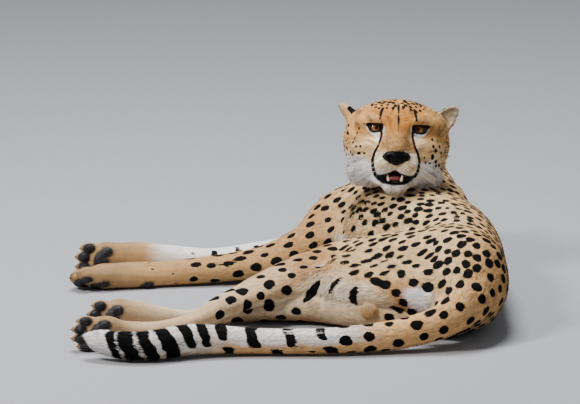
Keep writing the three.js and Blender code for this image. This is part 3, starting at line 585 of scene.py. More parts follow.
def body_fields(cloud):
    """Distance-like field of each part's skin, already blended with its neighbours."""
    fields = {name: tube.at(cloud) + coat_depth(name, cloud)
              for name, tube in (("trunk", TRUNK), ("neck", NECK))}
    core = smooth_min(fields["trunk"], fields["neck"], NECK_FILLET)
    fields["head"] = cloud.distances(
        np.minimum(SKULL.low, JAW.low), np.maximum(SKULL.high, JAW.high), head_skin)
    blended = {"core": core, "head": smooth_min(fields["head"], core, HEAD_FILLET)}
    for name, shape in LIMBS.items():
        own = shape.at(cloud) + coat_depth(name, cloud)
        if name in PAWS:
            own = smooth_min(own, PAWS[name].pads.at(cloud) + 0.6 * ripple(cloud.points, 9, 31), 1.2)
        if name in WRIST_PADS:
            own = smooth_min(own, WRIST_PADS[name].at(cloud), 2)
        fields[name] = own
        blended[name] = smooth_min(own, core, FILLETS[name])
    for name, ear in EARS.items():
        own = cloud.distances(ear.low, ear.high, ear.at)
        fields["ear_" + name] = own
        blended["ear_" + name] = smooth_min(own, fields["head"], EAR_FILLET)
    total = np.minimum.reduce(list(blended.values()))
    above = CONTACT - cloud.points[:, 2]
    return smooth_max(total, above, 5), fields


# ---------------------------------------------------------------- surface nets on a stretched grid
def grid_lines(low, high, coarse, fine):
    """Grid lines from low to high; fine is a list of (start, end, step)."""
    lines, at = [low], low
    while at < high:
        step = coarse
        for start, end, size in fine:
            if start <= at < end:
                step = min(step, size)
            elif at < start < at + step:
                step = max(size, start - at)
        at += step
        lines.append(at)
    extra = -(len(lines) - 1) % BLOCK
    return np.array(lines + [at + coarse * (n + 1) for n in range(extra)])


def lattice(*ranges):
    """Every combination of the numbers in the ranges, a row each."""
    return np.stack(np.meshgrid(*ranges, indexing="ij"), -1).reshape(-1, len(ranges))


def surface_net(values, lines):
    """Quads of the zero surface of a grid of values, one vertex per crossed cell."""
    inside = values < 0
    nx, ny, nz = values.shape
    count = np.zeros((nx - 1, ny - 1, nz - 1), np.int8)
    for i, j, k in lattice(*[range(2)] * 3):
        count += inside[i:nx - 1 + i, j:ny - 1 + j, k:nz - 1 + k]
    cells = np.argwhere((count > 0) & (count < 8))
    name = np.full(count.shape, -1, np.int64)
    name[tuple(cells.T)] = np.arange(len(cells))
    total, crossings = np.zeros((len(cells), 3)), np.zeros(len(cells))
    for axis in range(3):
        others = [n for n in range(3) if n != axis]
        for corner in lattice(range(2), range(2)):
            start = np.zeros(3, int)
            start[others] = corner
            end = start.copy()
            end[axis] = 1
            a, b = values[tuple((cells + start).T)], values[tuple((cells + end).T)]
            crossed = (a < 0) != (b < 0)
            place = np.tile(start.astype(float), (len(cells), 1))
            place[:, axis] += np.where(crossed, a / np.where(crossed, a - b, 1), 0)
            total += place * crossed[:, None]
            crossings += crossed
    at = cells + total / crossings[:, None]
    verts = np.stack([np.interp(at[:, n], np.arange(len(lines[n])), lines[n]) for n in range(3)], axis=1)
    quads = []
    for axis in range(3):
        low, high = [slice(None)] * 3, [slice(None)] * 3
        low[axis], high[axis] = slice(0, -1), slice(1, None)
        a, b = inside[tuple(low)], inside[tuple(high)]
        u, v = [n for n in range(3) if n != axis]
        for flip in (False, True):
            edges = np.argwhere(a & ~b if not flip else ~a & b)
            edges = edges[(edges[:, u] > 0) & (edges[:, v] > 0)
                          & (edges[:, u] < values.shape[u] - 1) & (edges[:, v] < values.shape[v] - 1)]
            ring = []
            for du, dv in ((1, 1), (0, 1), (0, 0), (1, 0)):
                cell = edges.copy()
                cell[:, u] -= du
                cell[:, v] -= dv
                ring.append(name[tuple(cell.T)])
            ring = np.stack(ring, axis=1)
            quads.append(ring[:, ::-1] if (axis == 1) != flip else ring)
    return verts, np.vstack(quads)


def mesh_field(field, lines):
    """Surface of a field, worked out only in the grid blocks that the surface may cross."""
    shape = [len(line) for line in lines]
    blocks = lattice(*[np.arange((n - 1) // BLOCK) for n in shape])
    low = np.stack([lines[n][blocks[:, n] * BLOCK] for n in range(3)], axis=1)
    high = np.stack([lines[n][blocks[:, n] * BLOCK + BLOCK] for n in range(3)], axis=1)
    centres, radii = (low + high) / 2, np.linalg.norm(high - low, axis=1) / 2
    probe, order = Cloud.around(centres, 60.0)  # the field at the blocks' centres says which may matter
    middle = np.empty(len(centres))
    middle[order] = field(probe)
    values = np.empty(shape, np.float32)
    for (i, j, k), value in zip(blocks * BLOCK, middle):
        values[i:i + BLOCK + 1, j:j + BLOCK + 1, k:k + BLOCK + 1] = value
    active = np.abs(middle) < radii * 1.7 + 4
    blocks, centres, radii = blocks[active] * BLOCK, centres[active], radii[active]
    offsets = lattice(*[np.arange(BLOCK + 1)] * 3)
    index = (blocks[:, None, :] + offsets[None]).reshape(-1, 3)
    points = np.stack([lines[n][index[:, n]] for n in range(3)], axis=1)
    cloud = Cloud(points, np.full(len(blocks), len(offsets)), centres, radii)
    values[tuple(index.T)] = field(cloud)
    return surface_net(values, lines)


# ---------------------------------------------------------------- place, lie of the hair and markings
HAIR_WAY = {"trunk": -1, "neck": -1}  # from head to tail, against the order of the stations
TUBES = {"trunk": TRUNK, "neck": NECK, "fore_left": FORE_LEFT, "fore_right": FORE_RIGHT,
         "hind_left": HIND_LEFT, "hind_right": HIND_RIGHT, "tail": TAIL}
NOSE_TIP = np.array([0.0, 84.0, -14.0])
SHARING = 5.0  # neighbouring parts share their looks over about this width


def anatomy(points):
    """For each point: its part, its place along and round that part, and the lie of the hair."""
    cloud, order = Cloud.around(points)
    _, fields = body_fields(cloud)
    names = list(fields)
    stack = np.stack([fields[name] for name in names])
    weight = np.exp(-np.minimum(stack - stack.min(axis=0), 60) / SHARING)
    weight /= weight.sum(axis=0)
    local = to_head(cloud.points)
    count = len(points)
    flow = np.zeros((count, 3))
    out = {"names": names, "local": local, "weight": dict(zip(names, weight)), "point": cloud.points,
           "part": stack.argmin(axis=0), "field": dict(zip(names, stack))}
    for name, share in zip(names, weight):
        near = share > 1e-3
        if name in TUBES:
            tube = TUBES[name]
            part, rows = cloud.within(tube.low, tube.high)
            place = {"arc": np.zeros(count), "side": np.zeros(count), "deep": np.zeros(count)}
            axis = np.tile([1.0, 0.0, 0.0], (count, 1))
            if len(rows):
                found = tube.places(part)
                axis[rows] = found.pop("axis") * HAIR_WAY.get(name, 1)
                for key, value in found.items():
                    place[key][rows] = value
            out[name] = place
        elif name == "head":
            axis = unit(local - NOSE_TIP + 1e-6)
            axis[:, 2] -= 0.25 * smooth_step(10, -30, local[:, 2])
            axis = unit(axis) @ HEAD_AXES
        elif name.startswith("ear"):
            ear = EARS[name[4:]]
            axis = unit(local - ear.base + 0.45 * ear.way) @ HEAD_AXES
        else:
            axis = np.tile(unit([-0.4, -0.7, -0.6]), (count, 1))
        flow += axis * (share * near)[:, None]
    out["flow"] = flow
    back = np.empty(count, np.int64)
    back[order] = np.arange(count)

    def restore(value):
        if isinstance(value, dict):
            return {key: restore(inner) for key, inner in value.items()}
        return value[back] if isinstance(value, np.ndarray) else value
    return restore(out)


def linear(red, green, blue):
    """Linear colour from one given as it looks (sRGB, 0 to 255)."""
    c = np.array([red, green, blue]) / 255
    return np.where(c <= 0.04045, c / 12.92, ((c + 0.055) / 1.055) ** 2.4)


COLOURS = {name: linear(*values) for name, values in {
    # rump: deeper, darker tan, partly painted shade
    "back": (226, 184, 128), "rump": (194, 146, 92), "flank": (222, 192, 146), "thigh": (178, 130, 78),
    "foreleg": (190, 148, 98), "leg": (190, 152, 104), "shin": (216, 188, 150), "foot": (166, 136, 100),
    # chin: white with painted shade from the muzzle over it
    # neck: the neck's tan, lightened as painted light
    "neck": (246, 194, 130), "white": (250, 251, 255), "cream": (228, 207, 174), "chin": (222, 219, 214),
    "forehead": (180, 122, 58), "temple": (200, 152, 94), "bridge": (164, 126, 80),
    # tail_root: tan, lightened as painted light
    "cheek": (234, 200, 148), "muzzle": (216, 203, 170), "tail_root": (230, 182, 124),
    # tail: tan, lightened as painted light on its shaded lower side
    "tail": (240, 192, 132), "ear": (196, 158, 108), "ear_rim": (218, 194, 156),
    # sole: dark brown of the fur round the pads, partly painted shade between them
    "ear_inside": (178, 166, 146), "sole": (70, 56, 44), "scrotum": (196, 154, 98), "mouth": (120, 36, 38),
    "pad": (50, 48, 50), "nose": (17, 17, 20),
}.items()}


def paint(colour, target, mask):
    mask = np.clip(mask, 0, 1)[:, None]
    return colour * (1 - mask) + COLOURS[target] * mask


def painted(count, base, *layers):
    """A base colour with other colours painted over it in turn, each through its mask."""
    colour = np.tile(COLOURS[base], (count, 1))
    for target, mask in layers:
        colour = paint(colour, target, mask)
    return colour


def head_colour(local, point):
    """Ground colour of the face and crown."""
    a, b, c = np.abs(local[:, 0]), local[:, 1], local[:, 2]
    gap = np.where(local[:, 0] > 0, lid_gap(local, 1), lid_gap(local, -1))
    blur = ripple(point, 22, 3) * 2.5
    a, c = a + blur, c + blur * 0.6
    front = smooth_step(-45, -15, b)
    ahead_0_10, ahead_0_20, ahead_20_0 = (smooth_step(*ends, b) for ends in ((0, 10), (0, 20), (-20, 0)))
    # cream over each eye, white under it and along both sides of the tear line
    brow = np.hypot((a - 38) / 15, (c - 43) / 8)
    crescent = smooth_step(-6.0, -4.6, gap) * smooth_step(-2.0, -2.8, gap) * smooth_step(52, 47, a)
    under = np.hypot((a - 31.5) / 5.5, (c - 18.5) / 7)
    beside = np.hypot((a - 30 + 0.3 * (c - 6)) / 3.8, (c - 6) / 14)
    inner = np.hypot((a - 21.5) / 3.0, (c - 20) / 13)
    low = smooth_step(-12, -26, c - 0.25 * (a - 50)) * front
    return painted(
        len(point), "forehead",
        ("temple", smooth_step(32, 58, a)),
        ("temple", smooth_step(54, 68, c) * 0.6),
        # The back of the head fades into the neck's tan, which holds painted light.
        ("neck", smooth_step(-20, -60, b) * 0.7),
        ("bridge", smooth_step(34, 14, c) * smooth_step(30, 18, a)),
        ("cheek", smooth_step(24, 8, c + 0.35 * (a - 40)) * smooth_step(24, 32, a) * front),
        ("cream", smooth_step(1.5, 0.3, brow) * ahead_0_20 * 0.15),
        ("white", crescent * smooth_step(34, 31, c) * (b > EYE["ahead"] - 6)),
        ("white", smooth_step(1.3, 0.6, under) * ahead_0_10 * 0.45),
        ("white", smooth_step(1.4, 0.5, beside) * ahead_0_10 * 0.15),
        ("cream", smooth_step(1.4, 0.6, inner) * ahead_0_20 * 0.3),
        ("white", low * smooth_step(34, 44, a) * smooth_step(74, 58, local[:, 0] + blur)),
        ("muzzle", smooth_step(-2, -16, c) * smooth_step(42, 36, a) * smooth_step(20, 40, b)),
        ("white", smooth_step(-30, -42, c) * ahead_20_0 * smooth_step(6, 20, a + c + 46)),
        # The white under the chin painted light grey: painted shade under the muzzle.
        ("chin", smooth_step(-54, -60, c) * ahead_20_0))


def strands(place):
    """Clumps of hair, lighter or darker, as streaks that follow the lie of the coat (about -1 to 1)."""
    out = place["local"] - NOSE_TIP
    rays = unit(out) * 62 + out * 0.16
    total = place["weight"]["head"] * (0.6 * ripple(rays, 3.6, 41) + 0.6 * ripple(rays, 8.5, 42))
    for name in TUBES:
        turn = np.arctan2(place[name]["deep"], place[name]["side"])
        around = np.stack([np.cos(turn) * 60, np.sin(turn) * 60, place[name]["arc"] * 0.22], axis=1)
        total += place["weight"][name] * (0.5 * ripple(around, 5, 43) + 0.5 * ripple(around, 13, 44))
    return total


def inner_side(place, name):
    """How far round to the inside of its leg each point is (-1 to 1)."""
    return -place[name]["side"] if name.endswith("left") else place[name]["side"]


def seat_patch(x, z):
    """The fluff at the seat, beside the tail: 1 at its edge."""
    return np.hypot((x - 212) / 38, (z - 60 + 0.35 * (x - 212)) / 22)


def leg_colour(place, name, mottle):
    """Ground colour of one leg, paler toward its inside, and on a hind leg paler over the top of the haunch,
    partly with painted light from above.
    """
    x, y, z = place["point"].T
    fore = name.startswith("fore")
    inner = inner_side(place, name)
    if name.endswith("right"):
        inner = inner - 0.35 * place[name]["deep"]
    inner = inner + 0.07 * mottle
    fade = smooth_step(-235, -180, x) * smooth_step(80, 0, x)
    pale = 0.35 if name == "fore_left" else 0.0
    colour = painted(
        len(x), "flank" if fore else "thigh",
        ("foreleg", smooth_step(150, 20, x)) if fore else
        # On the hind legs: paler flank colour over the top of the haunch, partly the coat's bleached top,
        # partly painted light from above.
        ("flank", smooth_step(72, 102, z) * smooth_step(20, 90, x) * 0.85),
        ("leg" if fore else "shin", smooth_step(60, -60, x)),
        ("foot", smooth_step(-215, -270, x) * 0.85),
        ("cream", smooth_step(pale, pale + 0.5, inner) * fade))
    if name == "fore_right":
        colour = paint(colour, "white", smooth_step(0.0, 0.5, inner) * fade)
    if name == "hind_left":  # pale inside of the thigh, and the fluff at the seat
        thigh = np.hypot((x - 80) / 72, (z - 47 - 0.05 * x) / 32) + 0.05 * mottle
        facing = smooth_step(235, 205, y - 0.9 * np.maximum(90 - x, 0))
        colour = paint(colour, "cream", smooth_step(1.3, 0.85, thigh) * facing)
        colour = paint(colour, "white", smooth_step(1.0, 0.4, thigh) * facing * 0.3)
        seat = seat_patch(x, z) + 0.06 * mottle
        colour = paint(colour, "white", smooth_step(1.25, 0.85, seat) * smooth_step(120, 95, y))
    if name == "hind_right":
        colour = paint(colour, "cream", smooth_step(20, 60, x) * smooth_step(240, 180, y) * 0.8)
    return colour


def coat_colour(place):
    """Ground colour of the coat, without its black markings; it holds painted shade on the chin, the rump and
    round the pads, and painted light on the neck, the tail and the top of the haunch.
    """
    point, weight, trunk, tail = (place[key] for key in ("point", "weight", "trunk", "tail"))
    count = len(point)
    mottle = ripple(point, 60, 5)
    x, y, z = point.T
    rump_tone_and_shade = smooth_step(260, 120, y) * smooth_step(150, 230, x)
    belly = trunk["deep"] + 0.06 * mottle + 0.5 * smooth_step(62, 92, z)
    throat = smooth_step(-20, -60, place["local"][:, 2]) * smooth_step(-0.2, -0.8, place["neck"]["deep"])
    throat = throat * smooth_step(-50, -10, place["local"][:, 1])
    from_tip = TAIL.arc[-1] - tail["arc"]
    upper = smooth_step(0.0, 0.5, tail["side"] + 0.1 * mottle)
    colours = {
        "trunk": painted(
            count, "flank",
            ("back", smooth_step(-0.1, 0.8, trunk["deep"])),
            # Deeper, darker tan over the rump: partly the coat's own deeper tone, partly painted shade where
            # the rump lies in shade.
            ("rump", rump_tone_and_shade * smooth_step(0.3, 0.9, trunk["deep"] + 0.1 * mottle)),
            ("cream", smooth_step(-0.45, -0.75, belly) * 0.7),
            ("white", smooth_step(-0.58, -0.8, belly) * smooth_step(570, 500, y))),
        # The neck's own tan, painted lighter all over: painted light against the shadow the head casts on the
        # neck.
        "neck": painted(count, "neck", ("white", throat * smooth_step(160, 190, z))),
        **{name: leg_colour(place, name, mottle) for name in PAWS},
        # The tail's tan and the tan at its root are both painted lighter than their own colour: painted light
        # on the root and the lower side of the tail, which lie in shade.
        "tail": painted(
            count, "tail",
            ("tail_root", smooth_step(440, 600, from_tip)),
            ("white", upper * smooth_step(460, 380, from_tip) * 0.8),
            ("cream", smooth_step(230, 170, from_tip)),
            ("white", smooth_step(230, 150, from_tip) * smooth_step(-0.6, 0.2, tail["side"]) * 0.8),
            ("white", smooth_step(52, 34, from_tip))),
    }
    total = np.zeros((count, 3))
    for name, colour in colours.items():
        total += colour * weight[name][:, None]
    total += head_colour(place["local"], point) * weight["head"][:, None]
    for name, ear in EARS.items():
        share = weight["ear_" + name]
        rows = np.flatnonzero(share > 0.01)
        inside = smooth_step(3.0, 0.8, ear.inner.at(Cloud.single(point[rows])))
        toward_tip = ear.place(place["local"][rows])[0]
        colour = painted(len(rows), "ear", ("ear_rim", smooth_step(0.75, 1.0, toward_tip) * 0.8),
                         ("ear_inside", inside))
        total[rows] += colour * share[rows, None]
    total += COLOURS["scrotum"] * weight["scrotum"][:, None]

    rows = np.flatnonzero(weight["head"] > 0.05)
    inside = smooth_step(1.6, 0.4, MOUTH.at(Cloud.single(point[rows])))
    total[rows] = paint(total[rows], "mouth", inside)
    pads = pad_depth(point)
    # Fur close round the pads painted dark brown: partly the dark fur of the soles, partly painted shade in
    # the gaps between the pads.
    total = paint(total, "sole", smooth_step(4, 1.0, pads + 0.6 * mottle) * 0.45)
    total *= 1 + strands(place)[:, None] * (0.13 + 0.22 * weight["head"][:, None])
    total = paint(total, "pad", smooth_step(1.4, 0.5, pads))
    local = place["local"][rows]
    leather = head_ink(local, point[rows])[1]
    lids = np.maximum(lid_gap(local, 1), lid_gap(local, -1))
    rims = smooth_step(-3.0, -2.2, lids) * (local[:, 1] > EYE["ahead"] - 4)
    dark = np.maximum(smooth_step(0.9, 0.0, leather), rims)
    total[rows] = paint(total[rows], "nose", dark * (1 - inside))
    return total


def stroke(u, v, stations):
    """Signed distance to a painted line; a station is [u, v, half width]."""
    best = np.full(len(u), FAR)
    for (u0, v0, w0), (u1, v1, w1) in zip(stations, stations[1:]):
        du, dv = u1 - u0, v1 - v0
        t = np.clip(((u - u0) * du + (v - v0) * dv) / (du * du + dv * dv), 0, 1)
        best = np.minimum(best, np.hypot(u - u0 - t * du, v - v0 - t * dv) - w0 - (w1 - w0) * t)
    return best


TEAR_LINE = [[24.6, 33, 1.9], [24.6, 16, 1.8], [28.6, 2, 1.8], [34.2, -9.5, 2.0], [37.0, -21.8, 2.3],
             [35.5, -34, 2.4], [31.2, -44, 2.4]]
MUZZLE_SHIFT = 0.8  # the muzzle stands this far to the right of the middle
MOUTH_SHIFT = 2.4  # and the lips this far
UPPER_LIP = [[31, -44, 1.6], [22, -45.5, 1.8], [12, -43.2, 1.8], [5, -39.5, 1.4], [0, -37, 1.2]]
LOWER_LIP = [[31, -44.5, 1.6], [25.5, -49, 3.2], [16, -53.8, 4.6], [0, -55.8, 4.6]]
LIP_CORNER = [[27, -46, 1.6], [20, -48.5, 3.4], [14.5, -49.5, 4.2]]
FOREHEAD = [
    ([[-0.6, 70, 1.0], [0.1, 60, 1.6], [0.4, 48, 1.5], [0.6, 36, 1.1], [0.6, 24, 0.6]], (1,)),
    ([[24.5, 61, 1.7], [27.5, 52, 2.3], [29.0, 43.5, 1.3]], BOTH),
    ([[7, 62, 1.0], [10, 56, 0.5], [13, 49, 0.1]], BOTH),
    ([[19, 59, 0.8], [16, 52, 0.2]], BOTH),
]


def head_ink(local, point):
    """Signed distance to the black lines and bare parts of the head."""
    a, b, c = local.T
    ink = np.full(len(a), FAR)
    front = b > -10
    low = b > 28
    for s in BOTH:
        across, mouth = (a + MUZZLE_SHIFT) * s, (a + MOUTH_SHIFT) * s
        rim = np.where(c > lid_edges(a * s)[0] - 2, 3.0, 2.2)
        lid = np.where(b > EYE["ahead"] - 4, -lid_gap(local, s) - rim, FAR)
        # Black wedge out from the outer corner of each eye: partly the black rim of the lids, partly painted
        # shade in the corner.
        corner = stroke(a * s, c, [[46, 32.5, 2.6], [50.5, 34.2, 1.6], [55.5, 35.4, 0.3]])
        ink = np.minimum(ink, np.minimum(lid, np.where(front, corner, FAR)))
        ink = np.where(front, np.minimum(ink, stroke(across, c, TEAR_LINE)), ink)
        for line in (UPPER_LIP, LOWER_LIP, LIP_CORNER):
            ink = np.where(low, np.minimum(ink, stroke(mouth, c, line)), ink)
    for line, sides in FOREHEAD:
        for s in sides:
            ink = np.where(front, np.minimum(ink, stroke(a * s, c, line)), ink)
    ink += 0.4 * ripple(point, 7, 9) * smooth_step(30, 40, c)
    lips = np.where(low & (c < -38) & (np.abs(a + MOUTH_SHIFT) < 28), ink, FAR)
    cloud = Cloud.single(point)
    wings = stroke(np.abs(a + MUZZLE_SHIFT), c, [[17.5, -15.5, 4.2], [9, -20.5, 4.6], [0, -24, 4.6]])
    top = stroke(np.abs(a + MUZZLE_SHIFT), c, [[0, -9.6, 3.4], [12.5, -10.4, 3.2]])
    nose = np.minimum(NOSE.at(cloud) - 0.4, np.where(b > 62, np.minimum(wings, top), FAR))
    ink = np.minimum(ink, nose)
    ink = np.where(PHILTRUM.at(cloud) < 1.5, np.minimum(ink, -0.1), ink)
    inside = MOUTH.at(cloud) < 0.6
    return np.where(inside, FAR, ink), np.where(inside, -1.0, np.minimum(nose, lips + 1.0))


RINGS = [  # on the tail: from and to (mm from its tip), from and to (degrees round from its top)
    (36, 48, 0, 190), (53.5, 75, 0, 190), (81, 98, 0, 190), (107, 130, 0, 190), (144, 162, 0, 96),
    (173, 189, 0, 92), (203, 219, 0, 64), (205, 221, 86, 145), (249, 267, 0, 94), (278, 293, 92, 150),
    (308, 324, 0, 94), (332, 341, 106, 128), (357, 371, 0, 56), (358, 376, 84, 140),
]
MM_PER_DEGREE = 0.42  # round the tail


def tail_ink(place):
    """Signed distance to the rings and patches of the tail."""
    tail, point = place["tail"], place["point"]
    angle = np.degrees(np.abs(np.arctan2(tail["deep"], tail["side"] + 1e-9)))
    at = TAIL.arc[-1] - tail["arc"] + 9 * np.cos(np.radians(angle)) + 1.3 * ripple(point, 17, 8)
    ink = np.full(len(at), FAR)
    for start, end, low, high in RINGS:
        half = (end - start) / 2
        along = np.abs(at - start - half) - half
        whole = high > 170
        soft = 1.0 if whole else 5.0  # roundness of its corners
        if whole:
            around = -40
        elif low == 0:
            around = (angle - high) * MM_PER_DEGREE
        else:
            around = (np.abs(angle - (low + high) / 2) - (high - low) / 2) * MM_PER_DEGREE
        off = np.hypot(np.maximum(along + soft, 0), np.maximum(around + soft, 0)) - soft
        ink = np.minimum(ink, off + np.minimum(np.maximum(along + soft, around + soft), 0))
    on_tail = place["field"]["tail"] < np.minimum(place["field"]["hind_left"], place["field"]["trunk"]) + 4
    return np.where(on_tail, ink, FAR)


def spot_style(place):
    """Radius, distance between and stretch of the spots; radius 0 where there are none."""
    point, local = place["point"], place["local"]
    count = len(point)
    part = np.array(place["names"])[place["part"]]
    radius, pitch, stretch = np.zeros(count), np.full(count, 30.0), np.full(count, 1.2)

    def put(mask, r, d, e):
        radius[mask] = np.broadcast_to(r, count)[mask]
        pitch[mask] = np.broadcast_to(d, count)[mask]
        stretch[mask] = np.broadcast_to(e, count)[mask]

    x, y, z = point.T
    trunk = place["trunk"]
    fore, rump = smooth_step(330, 470, y), smooth_step(230, 130, y)
    belly = smooth_step(-0.65, -0.9, trunk["deep"]) * smooth_step(560, 500, y) * smooth_step(110, 80, z)
    back = smooth_step(0.2, 0.7, trunk["deep"]) * (1 - rump)
    put(part == "trunk", 7.6 - 0.6 * fore - 0.5 * back + 0.4 * rump - 1.5 * belly,
        15.8 - 0.6 * fore - 0.9 * back + 1.6 * rump + 12 * belly, 1.25)
    put(part == "neck", 6.4, 15.0, 1.25)
    for name in ("fore_left", "fore_right"):
        low, end = smooth_step(150, 60, x), smooth_step(-150, -180, x)
        pale = smooth_step(0.1, 0.6, inner_side(place, name)) > 0.5
        bare = (pale & (x < 0)) | ((name == "fore_right") & (x < 70))
        r = np.where((x < -232) | bare, 0, 6.2 + 0.9 * low - 4.6 * end)
        put(part == name, r, 15.8 + 3 * low, 1.35 + 0.1 * low)
    for name in ("hind_left", "hind_right"):
        low = smooth_step(60, -10, x)
        if name == "hind_left":
            pale = (np.hypot((x - 76) / 76, (z - 50 - 0.05 * x) / 34) < 1.05) & (y < 200)
            pale |= (seat_patch(x, z) < 0.9) & (y < 120)
        else:
            pale = (x > 20) & (x < 150) & (y < 245)
        bare = (x < -118) | pale | ((inner_side(place, name) > 0.45) & (x < 60))
        put(part == name, np.where(bare, 0, 8.4 + 0.6 * low), 19 + 5 * low, 1.15)
    from_tip = TAIL.arc[-1] - place["tail"]["arc"]
    put((part == "tail") & (from_tip > 388), 8.3, 23.0, 1.12)
    a, b, c = np.abs(local[:, 0]), local[:, 1], local[:, 2]
    crown = (c > 57) & (b < 34) & (a > 4) & (a < 34 + 1.2 * (c - 57))
    put((part == "head") & crown, 3.4 + 0.7 * smooth_step(62, 72, c), 7.8, 1.7)
    side = (part == "head") & (c > -48) & ((b < -18) | (a > 76))
    put(side & ~crown, 3.0, 9.5, 1.35)
    put((part == "head") & (b < -45), 3.4, 11.0, 1.5)
    return radius, pitch, stretch


CHEEK_ROWS = [  # rows of small spots on the cheeks: side, from (a, c) to (a, c), how many, radius
    (-1, (58, 30), (71, 2), 4, 2.6), (-1, (75, 22), (79, -8), 4, 2.7), (-1, (57, 2), (66, -2), 2, 2.5),
    (-1, (48, -10), (69, -14), 4, 2.2), (-1, (70, -4), (77, -18), 2, 2.7), (-1, (74, -28), (73, -40), 2, 2.4),
    (1, (53, 20), (62, -8), 3, 2.9), (1, (67, 10), (72, -16), 3, 2.9), (1, (55, -8), (59, -18), 2, 2.5),
    (1, (62, -15), (63, -30), 2, 2.9), (1, (69, -20), (74, -44), 3, 2.9), (1, (44, -14), (53, -26), 3, 2.0),
    (-1, (39, -30), (37, -37), 2, 1.6), (1, (60, -38), (64, -52), 2, 2.4),
]
THIGH_BLOTCHES = [  # on the pale inside of the left thigh: place, half length, half width, way
    ([32, 150, 55], 20, 7.5, [-20, 0, -29]), ([68, 130, 70], 18, 5.8, [-14, 0, -29]),
    ([103, 105, 59], 17, 8.0, [0, 0, 1]), ([136, 92, 80], 14, 7.0, [18, 0, -15]),
    ([144, 95, 95], 10, 5.5, [1, 0, 0]), ([177, 85, 84], 12, 7.0, [7, 0, -14]),
    ([170, 75, 62], 12, 5.5, [1, 0, 0.2]),
]


def tree_of(points):
    tree = KDTree(len(points))
    for i, at in enumerate(points):
        tree.insert(at, i)
    tree.balance()
    return tree


class Spots:
    """Black spots scattered over the skin, no two nearer than the coat there allows."""

    def __init__(self, place, normals):
        radius, pitch, stretch = spot_style(place)
        point = place["point"]
        tree = tree_of(point)
        taken = radius <= 0
        chosen, sizes, stretches, ways = [], [], [], []

        def take(i, size, free, long=None, way=None):
            chosen.append(i)
            sizes.append(size)
            stretches.append(long or stretch[i])
            ways.append(place["flow"][i] if way is None else way)
            near = np.array([j for _, j, _ in tree.find_range(point[i], free * 1.3)])
            off = point[near] - point[i]
            along = (off @ unit(ways[-1])) / 1.28
            across_sq = (off * off).sum(axis=1) - (along * 1.28) ** 2
            taken[near[along ** 2 + across_sq / 0.86 ** 2 < free * free]] = True

        for at, half, wide, way in THIGH_BLOTCHES:
            take(tree.find(at)[1], math.sqrt(half * wide), half + 5, half / wide, np.array(way, float))
        on_head_part = np.array(place["names"])[place["part"]] == "head"
        head = np.flatnonzero(on_head_part & (place["local"][:, 1] > -60))
        local = place["local"][head]
        for s, (a0, c0), (a1, c1), number, size in CHEEK_ROWS:
            for t in (np.arange(number) + 0.5) / number:
                spot = np.array([s * (a0 + (a1 - a0) * t), c0 + (c1 - c0) * t]) + RNG.normal(0, 0.8, 2)
                off = np.hypot(*(local[:, [0, 2]] - spot).T) - 0.05 * local[:, 1]
                line = np.array([s * (a1 - a0), 0, c1 - c0]) @ HEAD_AXES
                take(head[off.argmin()], size * RNG.uniform(0.9, 1.2), 5, 1.15, line)
        for i in RNG.permutation(len(point)):
            if not taken[i]:
                take(i, radius[i] * RNG.uniform(0.82, 1.14), pitch[i] * RNG.uniform(0.94, 1.06))
        self.radius, self.stretch = np.array(sizes), np.array(stretches)
        self.centre, self.normal = point[chosen], normals[chosen]
        self.on_face = (place["weight"]["head"][chosen] > 0.5) & (place["local"][chosen, 1] > -45)
        ways = np.array(ways)
        self.way = unit(ways - self.normal * (ways * self.normal).sum(axis=1)[:, None])
        self.tree = tree_of(self.centre)
        print("spots", len(chosen))

    def nearest(self, points):
        return np.array([[found[1] for found in self.tree.find_n(at, 4)] for at in points])

    def ink(self, points, nearest, face):
        """Signed distance to the nearest spots; face is true where only spots of the face show."""
        best = np.full(len(points), FAR)
        wave = ripple(points, 13, 11)
        for i in nearest.T:
            off = points - self.centre[i]
            off -= self.normal[i] * ((off * self.normal[i]).sum(axis=1) * 0.8)[:, None]
            along = (off * self.way[i]).sum(axis=1)
            across_sq = np.maximum((off * off).sum(axis=1) - along ** 2, 0)
            size = np.sqrt(along ** 2 / self.stretch[i] + across_sq * self.stretch[i])
            size = np.where(face & ~self.on_face[i], FAR, size)
            best = np.minimum(best, size - self.radius[i] * (1 + 0.12 * wave))
        return best


def pad_depth(points):
    """Distance to the nearest pad of any foot."""
    cloud, order = Cloud.around(points)
    best = np.empty(len(points))
    best[order] = np.minimum.reduce(
        [pads.at(cloud) for pads in (*(paw.pads for paw in PAWS.values()), *WRIST_PADS.values())])
    return best


def markings(place, spots, nearest):
    """Ink (signed distance to black, mm) and bareness (1 where no hair grows)."""
    point, local, weight = place["point"], place["local"], place["weight"]
    face = (weight["head"] > 0.5) & (local[:, 1] > -30)
    ink = np.minimum(spots.ink(point, nearest, face), tail_ink(place))
    rows = np.flatnonzero(weight["head"] > 0.05)
    lines, nose = head_ink(local[rows], point[rows])
    ink[rows] = np.minimum(ink[rows], lines)
    for name, ear in EARS.items():  # black patch low on the back of each ear
        t, _, back = ear.place(local)
        patch = np.maximum((np.abs(t - 0.46) - 0.4) * np.linalg.norm(ear.way), 3.5 - back)
        ink = np.where(weight["ear_" + name] > 0.3, np.minimum(np.maximum(ink, 1.5), patch), ink)
    on_pad = smooth_step(1.4, 0.5, pad_depth(point))
    ink = np.where(on_pad > 0.4, -0.3 * on_pad, ink)
    bare = on_pad.copy()
    bare[rows] = np.maximum(bare[rows], smooth_step(0.9, 0.0, nose))
    for s in BOTH:
        bare = np.maximum(bare, smooth_step(-1.4, -0.9, lid_gap(local, s)) * (local[:, 1] > EYE["ahead"]))
    return ink, bare


# ---------------------------------------------------------------- Blender meshes and materials
box_low, box_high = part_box("eye_left")
OFFSET = np.array(box_low + box_high) * 500 - on_head(EYE_CAD)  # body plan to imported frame


def to_frame(points):
    return (np.asarray(points) + OFFSET) * 0.001


